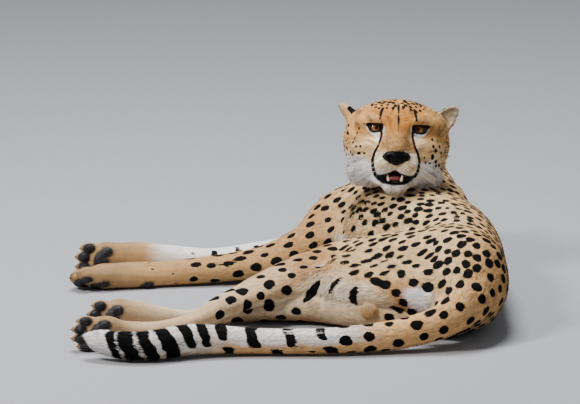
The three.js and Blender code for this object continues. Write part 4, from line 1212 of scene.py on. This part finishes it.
def set_attribute(mesh, key, values):
    """One number or one colour for each vertex."""
    kind, field = ("FLOAT", "value") if values.ndim == 1 else ("FLOAT_COLOR", "color")
    if values.ndim == 2:
        values = np.hstack([values, np.ones((len(values), 1))])
    mesh.attributes.new(key, kind, "POINT").data.foreach_set(field, values.astype(np.float32).ravel())


def build(name, points, faces, material, attributes=(), replaces=(), normals=None, uv=None):
    """One mesh piece. Points in plan millimetres; faces is a list of index arrays, one row a face."""
    mesh = bpy.data.meshes.new(name)
    mesh.vertices.add(len(points))
    mesh.vertices.foreach_set("co", to_frame(points).astype(np.float32).ravel())
    sizes = np.concatenate([np.full(len(part), part.shape[1]) for part in faces])
    loops = np.concatenate([part.ravel() for part in faces]).astype(np.int32)
    mesh.loops.add(len(loops))
    mesh.loops.foreach_set("vertex_index", loops)
    mesh.polygons.add(len(sizes))
    mesh.polygons.foreach_set("loop_start", np.concatenate([[0], np.cumsum(sizes)[:-1]]).astype(np.int32))
    mesh.update(calc_edges=True)
    for key, values in attributes:
        set_attribute(mesh, key, values)
    if uv is not None:
        layer = mesh.uv_layers.new(name="OFBake")
        layer.data.foreach_set("uv", uv[loops].astype(np.float32).ravel())
    mesh.shade_smooth()
    if normals is not None:
        mesh.normals_split_custom_set_from_vertices(normals.astype(np.float32))
    mesh.materials.append(material)
    piece = bpy.data.objects.new(name, mesh)
    bpy.context.scene.collection.objects.link(piece)
    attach(piece, "root")
    if replaces:
        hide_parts(*replaces)
    return piece


class Shader:
    """A node material with a Principled shader and short ways to add nodes."""

    def __init__(self, name, **sockets):
        self.material = bpy.data.materials.new(name)
        self.material.use_nodes = True
        self.tree = self.material.node_tree
        self.principled = self.tree.nodes["Principled BSDF"]
        for key, value in sockets.items():
            self.principled.inputs[key.replace("_", " ")].default_value = value

    def node(self, kind, inputs=(), **settings):
        node = self.tree.nodes.new(kind)
        for key, value in settings.items():
            setattr(node, key, value)
        for key, value in dict(inputs).items():
            self.set(node.inputs[key], value)
        return node

    def set(self, socket, value):
        if isinstance(value, bpy.types.NodeSocket):
            self.tree.links.new(value, socket)
        else:
            socket.default_value = value

    def attribute(self, name, output="Fac"):
        return self.node("ShaderNodeAttribute", attribute_name=name).outputs[output]

    def noise(self, scale, detail=3.0, vector=None):
        place = vector or self.node("ShaderNodeTexCoord").outputs["Object"]
        noise = self.node("ShaderNodeTexNoise", {"Vector": place, "Scale": scale, "Detail": detail})
        return noise.outputs["Fac"]

    def math(self, operation, a, b=0.0):
        return self.node("ShaderNodeMath", {0: a, 1: b}, operation=operation).outputs[0]

    def ramp(self, value, low, high, start=0.0, end=1.0):
        return self.node("ShaderNodeMapRange", {"Value": value, "From Min": low, "From Max": high,
                                                "To Min": start, "To Max": end},
                         interpolation_type="SMOOTHSTEP").outputs[0]

    def mix(self, factor, a, b, blend="MIX"):
        node = self.node("ShaderNodeMix", data_type="RGBA", blend_type=blend)
        for index, value in ((0, factor), (6, a), (7, b)):  # the colour sockets share their names with others
            self.set(node.inputs[index], value)
        return node.outputs[2]

    def bump(self, height, strength, distance):
        bump = self.node("ShaderNodeBump", {"Height": height, "Strength": strength, "Distance": distance})
        self.set(self.principled.inputs["Normal"], bump.outputs[0])

    def wire(self, **links):
        for key, value in links.items():
            self.set(self.principled.inputs[key.replace("_", " ")], value)
        return self.material


def coat_material():
    """Hair: ground colour and black ink from the mesh, bare leather where no hair grows."""
    shader = Shader("coat", Specular_IOR_Level=0.09)
    strand = shader.noise(900.0, 2.0)
    wave = shader.noise(38.0, 4.0)
    painted_on = shader.attribute("ground", "Color")
    ground = shader.mix(shader.ramp(wave, 0.3, 0.7, 0.0, 0.2), painted_on, (0.62, 0.36, 0.15, 1), "MULTIPLY")
    ground = shader.mix(shader.ramp(strand, 0.25, 0.75, 0.0, 0.35), ground, (0.45, 0.32, 0.2, 1), "MULTIPLY")
    edge = shader.math("ADD", shader.attribute("ink"), shader.math("SUBTRACT", strand, 0.5))
    hair = shader.mix(shader.ramp(edge, 0.5, -0.5), ground, (0.0035, 0.0032, 0.0036, 1))
    bare = shader.attribute("bare")
    crack = shader.noise(330.0, 4.0)
    worn = shader.mix(shader.ramp(crack, 0.35, 0.65), (0.45, 0.45, 0.45, 1), (1, 1, 1, 1))
    leather = shader.mix(1.0, painted_on, worn, "MULTIPLY")
    roughness = shader.ramp(bare, 0.0, 1.0, 0.85, 0.27)
    grain = shader.math("ADD", shader.math("MULTIPLY", strand, 0.6),
                        shader.math("MULTIPLY", crack, shader.ramp(bare, 0.0, 1.0, 0.6, 1.6)))
    shader.bump(grain, 0.45, 0.0012)
    return shader.wire(Base_Color=shader.mix(bare, hair, leather), Roughness=roughness)


COAT = coat_material()


def skin_lines():
    """Grid lines of the skin: fine over the face and the feet."""
    fine, foot, coarse = ((1.5, 2.3, 4.8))
    return [
        grid_lines(-352.0, 362.0, coarse, [(-346, -232, foot), (78, 258, fine)]),
        grid_lines(-118.0, 690.0, coarse, [(-24, 112, foot), (372, 498, fine), (498, 560, foot)]),
        grid_lines(-8.0, 304.0, coarse, [(-8, 62, foot), (130, 292, fine)]),
    ]


SKIN_QUADS = 98000  # about how many the skin is thinned to
CRUMB = 400  # a loose piece of surface with no more vertices than this is dropped


def large_sheets(verts, quads):
    """The connected sheets of a surface, without its loose crumbs."""
    label = np.arange(len(verts))
    while True:
        low = label[quads].min(axis=1)
        new = label.copy()
        for n in range(4):
            np.minimum.at(new, quads[:, n], low)
        new = new[new]
        if (new == label).all():
            break
        label = new
    keep = np.bincount(label, minlength=len(verts))[label] > CRUMB
    index = np.cumsum(keep) - 1
    return verts[keep], index[quads[keep[quads[:, 0]]]]


FLESH_NODES = [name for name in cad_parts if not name.startswith("eye_") and name != "tongue"]


def skin():
    """The one skin: surface net, thinned where it is finer than it needs to be."""
    verts, quads = mesh_field(lambda cloud: body_fields(cloud)[0], skin_lines())
    verts, quads = large_sheets(verts, quads)
    piece = build("skin", verts, [quads], COAT, replaces=FLESH_NODES)
    mesh = piece.data
    relax = piece.modifiers.new("relax", "SMOOTH")
    relax.factor, relax.iterations = 0.4, 2
    thin = piece.modifiers.new("thin", "DECIMATE")
    thin.ratio = min(1.0, SKIN_QUADS / len(quads))
    done = bpy.data.meshes.new_from_object(piece.evaluated_get(bpy.context.evaluated_depsgraph_get()))
    piece.modifiers.clear()
    piece.data = done
    done.name = "skin"
    bpy.data.meshes.remove(mesh)
    done.shade_smooth()
    return piece


def read_mesh(mesh):
    """Points (plan, mm), normals and triangles of a mesh."""
    count = len(mesh.vertices)
    points, normals = np.empty(count * 3, np.float32), np.empty(count * 3, np.float32)
    mesh.vertices.foreach_get("co", points)
    mesh.vertices.foreach_get("normal", normals)
    mesh.calc_loop_triangles()
    triangles = np.empty(len(mesh.loop_triangles) * 3, np.int32)
    mesh.loop_triangles.foreach_get("vertices", triangles)
    points, normals = points.reshape(-1, 3) * 1000.0 - OFFSET, normals.reshape(-1, 3).astype(float)
    return points, normals, triangles.reshape(-1, 3)


# ---------------------------------------------------------------- coat of tufts
TILES = {  # place of each part on the unwrap: u, v, width, height
    "trunk": (0.005, 0.005, 0.61, 0.39), "neck": (0.635, 0.005, 0.355, 0.25),
    "head": (0.635, 0.27, 0.355, 0.35), "scrotum": (0.93, 0.26, 0.05, 0.008),
    "fore_left": (0.005, 0.41, 0.61, 0.135), "fore_right": (0.005, 0.555, 0.61, 0.135),
    "hind_left": (0.005, 0.70, 0.61, 0.135), "hind_right": (0.005, 0.845, 0.61, 0.145),
    "ear_left": (0.635, 0.79, 0.17, 0.2), "ear_right": (0.82, 0.79, 0.17, 0.2),
    "tail": (0.635, 0.635, 0.355, 0.14),
}


def unwrap(place):
    """Place of each root on the unwrap of its own part: along it and round it."""
    part = np.array(place["names"])[place["part"]]
    uv = np.zeros((len(part), 2))
    for name, (u, v, width, height) in TILES.items():
        rows = part == name
        if name in TUBES:
            length = TUBES[name].arc[-1]
            along = (place[name]["arc"][rows] + 0.12 * length) / (1.24 * length)
            around = np.arctan2(place[name]["deep"][rows], place[name]["side"][rows]) / (2 * math.pi) + 0.5
        elif name.startswith("ear"):
            ear = EARS[name[4:]]
            t, front, _ = ear.place(place["local"][rows])
            out = (place["local"][rows] - ear.base) @ np.cross(ear.way, ear.opening)
            along = np.where(front > 0, 0.25, 0.75) + out / np.linalg.norm(ear.way) / 130
            around = 0.2 + 0.55 * t
        else:
            centre = np.array([0, -5, -5]) if name == "head" else to_head(SCROTUM.centre[None])[0]
            q = unit(place["local"][rows] - centre)
            along = np.arctan2(q[:, 0], q[:, 1]) / (2 * math.pi) + 0.5
            around = np.arcsin(np.clip(q[:, 2], -1, 1)) / math.pi + 0.5
        uv[rows, 0] = u + width * np.clip(along, 0.004, 0.996)
        uv[rows, 1] = v + height * np.clip(around, 0.008, 0.992)
    return uv


def hair_style(place):
    """Length, width, spacing and lift of the tufts at each place (mm, and degrees for lift)."""
    point, weight, local = place["point"], place["weight"], place["local"]
    x = point[:, 0]
    a, b, c = np.abs(local[:, 0]), local[:, 1], local[:, 2]
    base = {"trunk": (8.5, 1.5, 2.15, 10), "neck": (8.5, 1.4, 1.95, 11), "tail": (9, 1.5, 2.05, 12),
            "scrotum": (6, 1.2, 1.6, 14), "ear_left": (5, 0.9, 1.2, 16), "ear_right": (5, 0.9, 1.2, 16)}
    style = np.zeros((len(point), 4))
    for name, values in base.items():
        style += weight[name][:, None] * np.array(values, float)
    down = smooth_step(120, -230, x)[:, None]
    limb = sum(weight[name] for name in PAWS)[:, None]
    style += limb * ((1 - down) * [8.5, 1.5, 2.1, 10] + down * [4.8, 1.1, 1.45, 10])
    # head: shortest on the bridge of the nose and muzzle, longest on cheeks, ruff and chin
    behind = smooth_step(55, -30, b)
    cheek = smooth_step(45, 62, a) * smooth_step(30, 0, c) * smooth_step(-60, -20, b)
    ruff = smooth_step(-15, -45, c) * smooth_step(48, 10, b)
    chin = smooth_step(-62, -70, c) * smooth_step(20, 40, b)
    length = 3.2 + 4.0 * behind + 5.5 * cheek + 6.0 * ruff + 2.0 * chin
    width = 0.75 + 0.35 * behind + 0.2 * cheek
    gap = 1.1 + 0.35 * behind + 0.15 * cheek
    lift = 9 + 5 * behind + 10 * cheek + 9 * ruff + 3 * chin
    style += weight["head"][:, None] * np.stack([length, width, gap, lift], axis=1)
    # longer on belly, back of the thigh and toward the end of the tail
    belly = smooth_step(-0.4, -0.8, place["trunk"]["deep"]) * weight["trunk"]
    seat = smooth_step(-0.3, -0.8, place["hind_left"]["deep"]) * weight["hind_left"] * smooth_step(-40, 60, x)
    tip = smooth_step(260, 20, TAIL.arc[-1] - place["tail"]["arc"]) * weight["tail"]
    thigh = np.hypot((x - 72) / 78, (point[:, 2] - 55) / 34)
    inside = weight["hind_left"] * smooth_step(1.2, 0.8, thigh) * (point[:, 1] < 210)
    style[:, 0] += 6 * belly + 2 * seat + 3 * tip + 2 * inside
    style[:, 3] += 4 * belly + 3 * seat + 4 * tip + 2 * inside
    length, width, gap, lift = style.T
    return {"length": length, "width": width, "gap": gap, "lift": np.radians(lift)}


def scatter(points, triangles, gap):
    """Roots spread evenly over the triangles: triangle and corner weights of each."""
    a, b, c = (points[triangles[:, n]] for n in range(3))
    area = np.linalg.norm(np.cross(b - a, c - a), axis=1) / 2
    load = np.cumsum(area / gap[triangles].mean(axis=1) ** 2)
    count = int(load[-1])
    chosen = np.searchsorted(load, (np.arange(count) + RNG.random(count)) / count * load[-1])
    u, v = np.sqrt(RNG.random(count)), RNG.random(count)
    return triangles[chosen], np.stack([1 - u, u * (1 - v), u * v], axis=1)


def lie(root, normal, flow):
    """Way each tuft lies: along the flow of the coat, with the parting of fine clumps."""
    way = unit(flow - normal * (flow * normal).sum(axis=1)[:, None] + 1e-9)
    turn = 0.16 * ripple(root, 16, 21) + 0.1 * ripple(root, 5, 22) + RNG.normal(0, 0.07, len(root))
    return way * np.cos(turn)[:, None] + np.cross(normal, way) * np.sin(turn)[:, None]


def moved(place, offset):
    """The same places shifted by an offset, for markings at the tips of the tufts."""
    point = place["point"] + offset
    tail = dict(place["tail"])
    tail["arc"] = tail["arc"] + (offset * unit(place["flow"])).sum(axis=1)
    return {**place, "point": point, "local": to_head(point), "tail": tail}


def tufts(root, normal, way, style, colour, ink, uv, name, bent):
    """One joined mesh of thin three-sided tufts; the bent ones have a knee half way."""
    count = len(root)
    side = np.cross(normal, way)
    lean = 0.22 * ripple(root, 7, 25) + RNG.normal(0, 0.1, count)  # clumps catch the light unevenly
    shown = unit(normal + side * lean[:, None])
    lift = style["lift"] * RNG.uniform(0.7, 1.3, count)
    half = style["width"] * RNG.uniform(0.4, 0.6, count)
    foot = root - normal * 0.7  # rooted under the skin

    def reached(start, share, bend=1.0):
        """End of a length of hair that rises from the skin by its lift times the bend."""
        rise, run = np.sin(lift * bend)[:, None], np.cos(lift * bend)[:, None]
        return start + (way * run + normal * rise) * (style["length"] * share)[:, None]

    def section(middle, thick, high):
        return [middle - side * (half * thick)[:, None], middle + side * (half * thick)[:, None],
                middle + normal * (half * high)[:, None]]

    rows = section(foot, 1.0, 0.9)
    shine = [shown * 0.8 - side * 0.5, shown * 0.8 + side * 0.5, shown]
    tone, reach = [0.9, 0.9, 0.97], [0, 0, 0]
    patch = [[-1, -1], [1, -1], [0, 0.6]]
    if bent:
        knee = reached(foot, 0.45, 1.5)
        tip = reached(knee, 0.55, 0.4)
        rows += section(knee, 0.8, 0.7)
        shine += shine
        tone += [0.98, 0.98, 1.02]
        reach += [0.45, 0.45, 0.45]
        patch += [[-0.7, 0.2], [0.7, 0.2], [0, 0.8]]
        faces = [[0, 1, 4, 3], [1, 2, 5, 4], [2, 0, 3, 5]], [[3, 4, 6], [4, 5, 6], [5, 3, 6]]
    else:
        tip = reached(foot, 1)
        faces = [[[0, 1, 3], [1, 2, 3], [2, 0, 3]]]
    rows.append(tip)
    shine.append(unit(shown + way * 0.15))
    tone.append(1.08)
    reach = np.array([*reach, 1])
    patch = np.array([*patch, [0, 1]]) * PATCH
    points = np.stack(rows, axis=1).reshape(-1, 3)
    points[:, 2] = np.maximum(points[:, 2], FLOOR_GAP)
    normals = unit(np.stack(shine, axis=1).reshape(-1, 3))
    first = (np.arange(count) * len(rows))[:, None, None]
    parts = [(np.array(kind)[None] + first).reshape(-1, len(kind[0])) for kind in faces]
    shade = RNG.uniform(0.7, 1.2, count) * (1 + 0.08 * ripple(root, 11, 23) + 0.1 * ripple(root, 5, 24))
    ground = colour[:, None, :] * shade[:, None, None] * np.array(tone)[None, :, None]
    dye = ink[0][:, None] * (1 - reach) + ink[1][:, None] * reach
    attributes = [("ground", np.clip(ground, 0, 1).reshape(-1, 3)), ("ink", dye.ravel()),
                  ("bare", np.zeros(len(points)))]
    build(name, points, parts, COAT, attributes, normals=normals,
          uv=(uv[:, None, :] + patch[None]).reshape(-1, 2))


PATCH = 0.0015  # half the size of a tuft's patch on the unwrap
LONG_LIFT, LONG_HAIR = math.radians(15.5), 12.5  # above either a tuft bends
MOST_TUFTS = {False: 64000, True: 21000}  # in one piece, by whether they bend
COAT_PIECES = {
    "head": ["head"], "ears": ["ear_left", "ear_right"], "neck": ["neck"], "trunk": ["trunk"],
    "forelegs": ["fore_left", "fore_right"], "hindleg_left": ["hind_left", "scrotum"],
    "hindleg_right": ["hind_right"], "tail": ["tail"],
}


def hairless(place, bare):
    """Where no tuft grows: on leather, in the mouth and at the rims of the lids."""
    cloud, local = Cloud.single(place["point"]), place["local"]
    none = (bare >= 0.3) | (MOUTH.at(cloud) < 2.0) | (LIP_LINE.at(cloud) < 1.0)
    for s in BOTH:
        none |= (lid_gap(local, s) > -1.8) & (local[:, 1] > EYE["ahead"] - 4)
    return none


def grow_coat(points, normals, triangles, place, spots):
    """Tufts all over the skin, as a few pieces for each part of the body."""
    gap = hair_style(place)["gap"] * 1.0
    corners, share = scatter(points, triangles, gap)
    root = (points[corners] * share[:, :, None]).sum(axis=1)
    normal = unit((normals[corners] * share[:, :, None]).sum(axis=1))
    keep = ~((root[:, 2] < 2.5) & (normal[:, 2] < -0.3))  # none is pressed between body and floor
    root, normal = root[keep], normal[keep]
    at = anatomy(root)
    nearest = spots.nearest(root)
    ink, bare = markings(at, spots, nearest)
    style = hair_style(at)
    head = at["weight"]["head"]
    edge = smooth_step(5 + 3 * head, 0.5 + 2 * head, np.abs(ink))  # tufts are short at a mark's edge
    style["length"] = style["length"] * RNG.uniform(0.75, 1.2, len(root)) * (1 - edge * (0.25 + 0.45 * head))
    way = lie(root, normal, at["flow"])
    far = markings(moved(at, way * style["length"][:, None] * 0.75), spots, nearest)[0]
    colour, uv = coat_colour(at), unwrap(at)
    names = np.array(at["names"])[at["part"]]
    long = (style["lift"] > LONG_LIFT) | (style["length"] > LONG_HAIR)
    keep = ~hairless(at, bare)
    total = 0
    for group, members in COAT_PIECES.items():
        for bent, most in MOST_TUFTS.items():
            rows = np.flatnonzero(np.isin(names, members) & keep & (long == bent))
            for n in range(0, len(rows), most):
                some = rows[n:n + most]
                tufts(root[some], normal[some], way[some], {key: value[some] for key, value in style.items()},
                      colour[some], (ink[some], far[some]), uv[some],
                      f"coat_{group}_{'long' if bent else 'short'}_{n // most + 1}", bent)
                total += len(some) * (9 if bent else 3)
    print("coat triangles", total)


# ---------------------------------------------------------------- eyes, teeth, tongue, claws, whiskers
def two_tones(shader, factor, one, other, **links):
    """Finish a material with a colour between two."""
    return shader.wire(Base_Color=shader.mix(factor, (*one, 1), (*other, 1)), **links)


def ring_faces(rings, around, first, start, end):
    """Quads between rings of points numbered from first, and triangles to the points that close both ends."""
    index = first + np.arange(rings * around).reshape(rings, around)
    beside = np.roll(index, -1, axis=1)
    quads = np.stack([index[:-1], beside[:-1], beside[1:], index[1:]], -1).reshape(-1, 4)
    caps = np.vstack([np.stack([np.full(around, start), beside[0], index[0]], 1),
                      np.stack([np.full(around, end), index[-1], beside[-1]], 1)])
    return quads, caps


def turned(points, first, second, degrees):
    """Points turned in the plane of two of their axes."""
    turn, angle = np.eye(3), math.radians(degrees)
    turn[[first, second], [first, second]] = math.cos(angle)
    turn[first, second], turn[second, first] = -math.sin(angle), math.sin(angle)
    return points @ turn


def eye_material():
    """Pupil, amber iris with its fibres, dark rim and a dark brown white, partly painted shade of the eye's
    corners, by the distance from the middle.
    """
    shader = Shader("eye", Roughness=0.1, Specular_IOR_Level=0.4, IOR=1.38,
                    Coat_Weight=0.35, Coat_Roughness=0.03)
    ring, spoke = shader.attribute("ring"), shader.attribute("spoke")
    place = shader.node("ShaderNodeCombineXYZ", {"X": shader.math("MULTIPLY", spoke, 9.0),
                                                 "Y": shader.math("MULTIPLY", ring, 0.22)}).outputs[0]
    fibre = shader.noise(2.4, 5.0, place)
    iris = shader.mix(shader.ramp(ring, 2.6, 7.6), (0.36, 0.125, 0.03, 1), (0.17, 0.05, 0.012, 1))
    iris = shader.mix(shader.ramp(fibre, 0.35, 0.75, 0.0, 0.7), iris, (0.42, 0.17, 0.045, 1))
    colour = shader.mix(shader.ramp(ring, 2.55, 3.0), (0.002, 0.002, 0.002, 1), iris)
    colour = shader.mix(shader.ramp(ring, 6.6, 7.8), colour, (0.012, 0.007, 0.004, 1))
    # The white of the eye in dark brown: partly its own brownish colour, partly painted shade in the corners
    # of the eye.
    colour = shader.mix(shader.ramp(ring, 9.5, 12.5), colour, (0.07, 0.045, 0.035, 1))
    return shader.wire(Base_Color=colour)


def eyes():
    """Two balls, a little fuller at the cornea, that look at the camera."""
    material = eye_material()
    rings, around, cornea = 39, 56, 1.5
    gaze_up = 5  # degrees
    theta = np.linspace(0, math.pi, rings + 2)[1:-1]
    phi = np.arange(around) * 2 * math.pi / around
    bulge = cornea * np.maximum(1 - (theta / 0.62) ** 2, 0) ** 1.2
    radius = EYE["radius"] + bulge
    cosine, sine = radius * np.cos(theta), EYE["radius"] * np.sin(theta) * (1 + bulge / EYE["radius"])
    grid = np.stack([np.outer(sine, np.cos(phi)), np.repeat(cosine[:, None], around, 1),
                     np.outer(sine, np.sin(phi))], -1)
    ball = np.vstack([[0, EYE["radius"] + cornea, 0], grid.reshape(-1, 3), [0, -EYE["radius"], 0]])
    ring = np.hypot(ball[:, 0], ball[:, 2])
    ring[ball[:, 1] < 0] = EYE["radius"]
    spoke = np.abs(np.arctan2(ball[:, 2], ball[:, 0])) * 2
    for name, s, inward in (("left", 1, 14), ("right", -1, 9)):
        gaze = turned(ball, 0, 1, -s * inward)
        gaze = turned(gaze, 1, 2, -gaze_up)
        points = HEAD_CENTRE + (gaze + eye_place(s)) @ HEAD_AXES
        build(f"eyeball_{name}", points, ring_faces(rings, around, 1, 0, len(ball) - 1), material,
              [("ring", ring), ("spoke", spoke)], replaces=[f"eye_{name}"])


def cone_along(path, radii, sides=10):
    """Closed tapering tube along a path: points, quads and end triangles."""
    path = np.asarray(path, float)
    way = unit(np.gradient(path, axis=0))
    u = unit(np.cross(way, [0.31, 0.52, 0.79]))
    v = np.cross(way, u)
    angle = np.arange(sides) * 2 * math.pi / sides
    rings = path[:, None] + np.asarray(radii)[:, None, None] * (
        u[:, None] * np.cos(angle)[None, :, None] + v[:, None] * np.sin(angle)[None, :, None])
    points = np.vstack([rings.reshape(-1, 3), path[:1], path[-1:]])
    return points, *ring_faces(len(path), sides, 0, len(points) - 2, len(points) - 1)


def build_joined(name, shapes, material):
    """Several shapes of points, quads and triangles as one piece."""
    points, quads, caps = zip(*shapes)
    first = np.cumsum([0] + [len(part) for part in points[:-1]])
    faces = [np.vstack([part + at for part, at in zip(kind, first)]) for kind in (quads, caps)]
    build(name, np.vstack(points), faces, material)


def curved(start, ways, length, steps=7):
    """Path that starts at a point and turns evenly from one way to the next."""
    ways = unit(np.array(ways, float))
    t = np.linspace(0, 1, steps)
    way = unit(ways[0] * (1 - t)[:, None] + ways[-1] * t[:, None])
    return np.vstack([start, start + np.cumsum(way[:-1] * length / (steps - 1), axis=0)])


def claws():
    shader = Shader("claw", Specular_IOR_Level=0.5)
    grain = shader.noise(600.0, 4.0)
    shader.bump(grain, 0.2, 0.0004)
    material = two_tones(shader, shader.ramp(grain, 0.3, 0.7), (0.035, 0.026, 0.02), (0.11, 0.085, 0.06),
                         Roughness=shader.ramp(grain, 0.2, 0.8, 0.28, 0.5))
    for name, paw in PAWS.items():
        ways = [paw.ahead - paw.sole * 0.25, paw.ahead * 0.6 + paw.sole * 0.9]
        shapes = []
        for tip in paw.tips:
            path = curved(tip - paw.ahead * 5 - paw.sole * 3.5, ways, 8.5)
            points, *faces = cone_along(path, 2.5 * np.linspace(1, 0.05, 7) ** 0.6)
            points[:, 2] = np.maximum(points[:, 2], FLOOR_GAP)
            shapes.append((points, *faces))
        build_joined(f"claws_{name}", shapes, material)


def teeth():
    shader = Shader("tooth", Roughness=0.25, Specular_IOR_Level=0.5)
    stain = shader.noise(180.0)
    material = two_tones(shader, shader.ramp(stain, 0.3, 0.8), (0.86, 0.78, 0.60), (0.62, 0.47, 0.26))
    shapes = []

    def tooth(place, ways, radius, length):
        path = curved(on_head(place), np.array(ways, float) @ HEAD_AXES, length, 8)
        shapes.append(cone_along(path, radius * (1 - np.linspace(0, 1, 8) ** 2.2 * 0.93)))
    for s in BOTH:  # lower and upper canine, and two incisors
        tooth([s * 9.8 - 1.4, 64, -53], [[s * 0.25, 0.25, 1], [s * 0.1, -0.15, 1]], 2.4, 11.5)
        tooth([s * 12.0 - 2, 58, -38], [[0, 0.1, -1], [0, -0.3, -1]], 2.4, 6)
        for n in (1.5, 4.3):
            tooth([s * n - 1.4, 63, -58], [[0, 0.1, 1], [0, 0, 1]], 1.2, 4.0)
    build_joined("teeth", shapes, material)


def tongue():
    shader = Shader("tongue", Roughness=0.34, Specular_IOR_Level=0.5, Subsurface_Weight=0.15)
    shader.bump(shader.noise(700.0, 2.0), 0.35, 0.0008)
    material = two_tones(shader, shader.noise(90.0), (0.17, 0.036, 0.04), (0.27, 0.08, 0.08))
    lines = [grid_lines(low - 4, high + 4, 1.6, []) for low, high in zip(TONGUE.low, TONGUE.high)]
    verts, quads = mesh_field(TONGUE.at, lines)
    build("tongue_soft", verts, [quads], material, replaces=["tongue"])


def whiskers():
    """Nine on each side, in three rows."""
    shader = Shader("whisker", Roughness=0.4)
    material = two_tones(shader, shader.noise(50.0), (0.85, 0.82, 0.76), (0.7, 0.66, 0.6))
    shapes = []
    for s in BOTH:
        for n in range(9):
            row, column = divmod(n, 3)
            start = [s * (24 + 4 * column), 68 - 6 * column, -22 - 6.5 * row - 2.2 * column]
            out = [s * 1.0, 0.15 - 0.12 * column, -0.18 - 0.1 * row]
            droop = [s * 0.8, -0.5, -0.7 - 0.1 * row]
            path = curved(on_head(start), np.array([out, droop], float) @ HEAD_AXES, RNG.uniform(40, 56), 9)
            shapes.append(cone_along(path, 0.15 * np.linspace(1, 0.2, 9), 5))
    build_joined("whiskers", shapes, material)


# ---------------------------------------------------------------- floor, light and camera
def stage():
    """Plain pale floor."""
    shader = Shader("floor", Roughness=0.85, Specular_IOR_Level=0.2)
    grain = shader.noise(60.0, 5.0)
    shader.bump(grain, 0.08, 0.002)
    material = two_tones(shader, grain, (0.33, 0.33, 0.34), (0.37, 0.37, 0.385))
    mesh = bpy.data.meshes.new("floor")
    half = 8  # metres
    corners = [(-half, -half, 0), (half, -half, 0), (half, half, 0), (-half, half, 0)]
    mesh.from_pydata(corners, [], [(0, 1, 2, 3)])
    mesh.materials.append(material)
    floor = bpy.data.objects.new("floor", mesh)
    bpy.context.scene.collection.objects.link(floor)


def area_light(name, place, aim, size, power, colour):
    light = bpy.data.lights.new(name, "AREA")
    light.shape, light.size, light.energy, light.color = "DISK", size, power, colour
    lamp = bpy.data.objects.new(name, light)
    lamp.location = place
    lamp.rotation_euler = (Vector(aim) - Vector(place)).to_track_quat("-Z", "Y").to_euler()
    bpy.context.scene.collection.objects.link(lamp)


def light_and_camera():
    """Soft studio light, and the camera at the angle of the photograph."""
    scene = bpy.context.scene
    world = bpy.data.worlds.new("studio")
    world.use_nodes = True
    background = world.node_tree.nodes["Background"]
    background.inputs["Color"].default_value = (0.82, 0.90, 1.0, 1)
    background.inputs["Strength"].default_value = 0.34
    scene.world = world
    area_light("key", (-1.9, -1.4, 2.4), (0, 0, 0.1), 0.8, 108, (1.0, 0.96, 0.91))
    area_light("top", (-0.1, 0.5, 2.8), (0, 0, 0.1), 1.3, 128, (0.93, 0.96, 1.0))

    camera = bpy.data.cameras.new("camera")
    camera.lens, camera.sensor_width, camera.clip_end = 400, 36, 100
    eye = bpy.data.objects.new("camera", camera)
    tilt, height, distance = math.radians(12.5), 0.2241, 9.76  # down from level; metres
    view = Vector((0, math.cos(tilt), -math.sin(tilt)))
    up = Vector((0, math.sin(tilt), math.cos(tilt)))
    aim = Vector(to_frame([0, 0, 0])) + up * height
    eye.location = aim - view * distance
    eye.rotation_euler = view.to_track_quat("-Z", "Y").to_euler()
    scene.collection.objects.link(eye)
    scene.camera = eye


# ---------------------------------------------------------------- making
light_and_camera()
stage()
hide = skin()
SKIN_POINTS, SKIN_NORMALS, SKIN_TRIANGLES = read_mesh(hide.data)
PLACE = anatomy(SKIN_POINTS)
SPOTS = Spots(PLACE, SKIN_NORMALS)
INK, BARE = markings(PLACE, SPOTS, SPOTS.nearest(SKIN_POINTS))
set_attribute(hide.data, "ground", np.clip(coat_colour(PLACE), 0, 1))
set_attribute(hide.data, "ink", INK)
set_attribute(hide.data, "bare", BARE)
print("skin triangles", len(SKIN_TRIANGLES))
grow_coat(SKIN_POINTS, SKIN_NORMALS, SKIN_TRIANGLES, PLACE, SPOTS)
eyes()
teeth()
tongue()
claws()
whiskers()
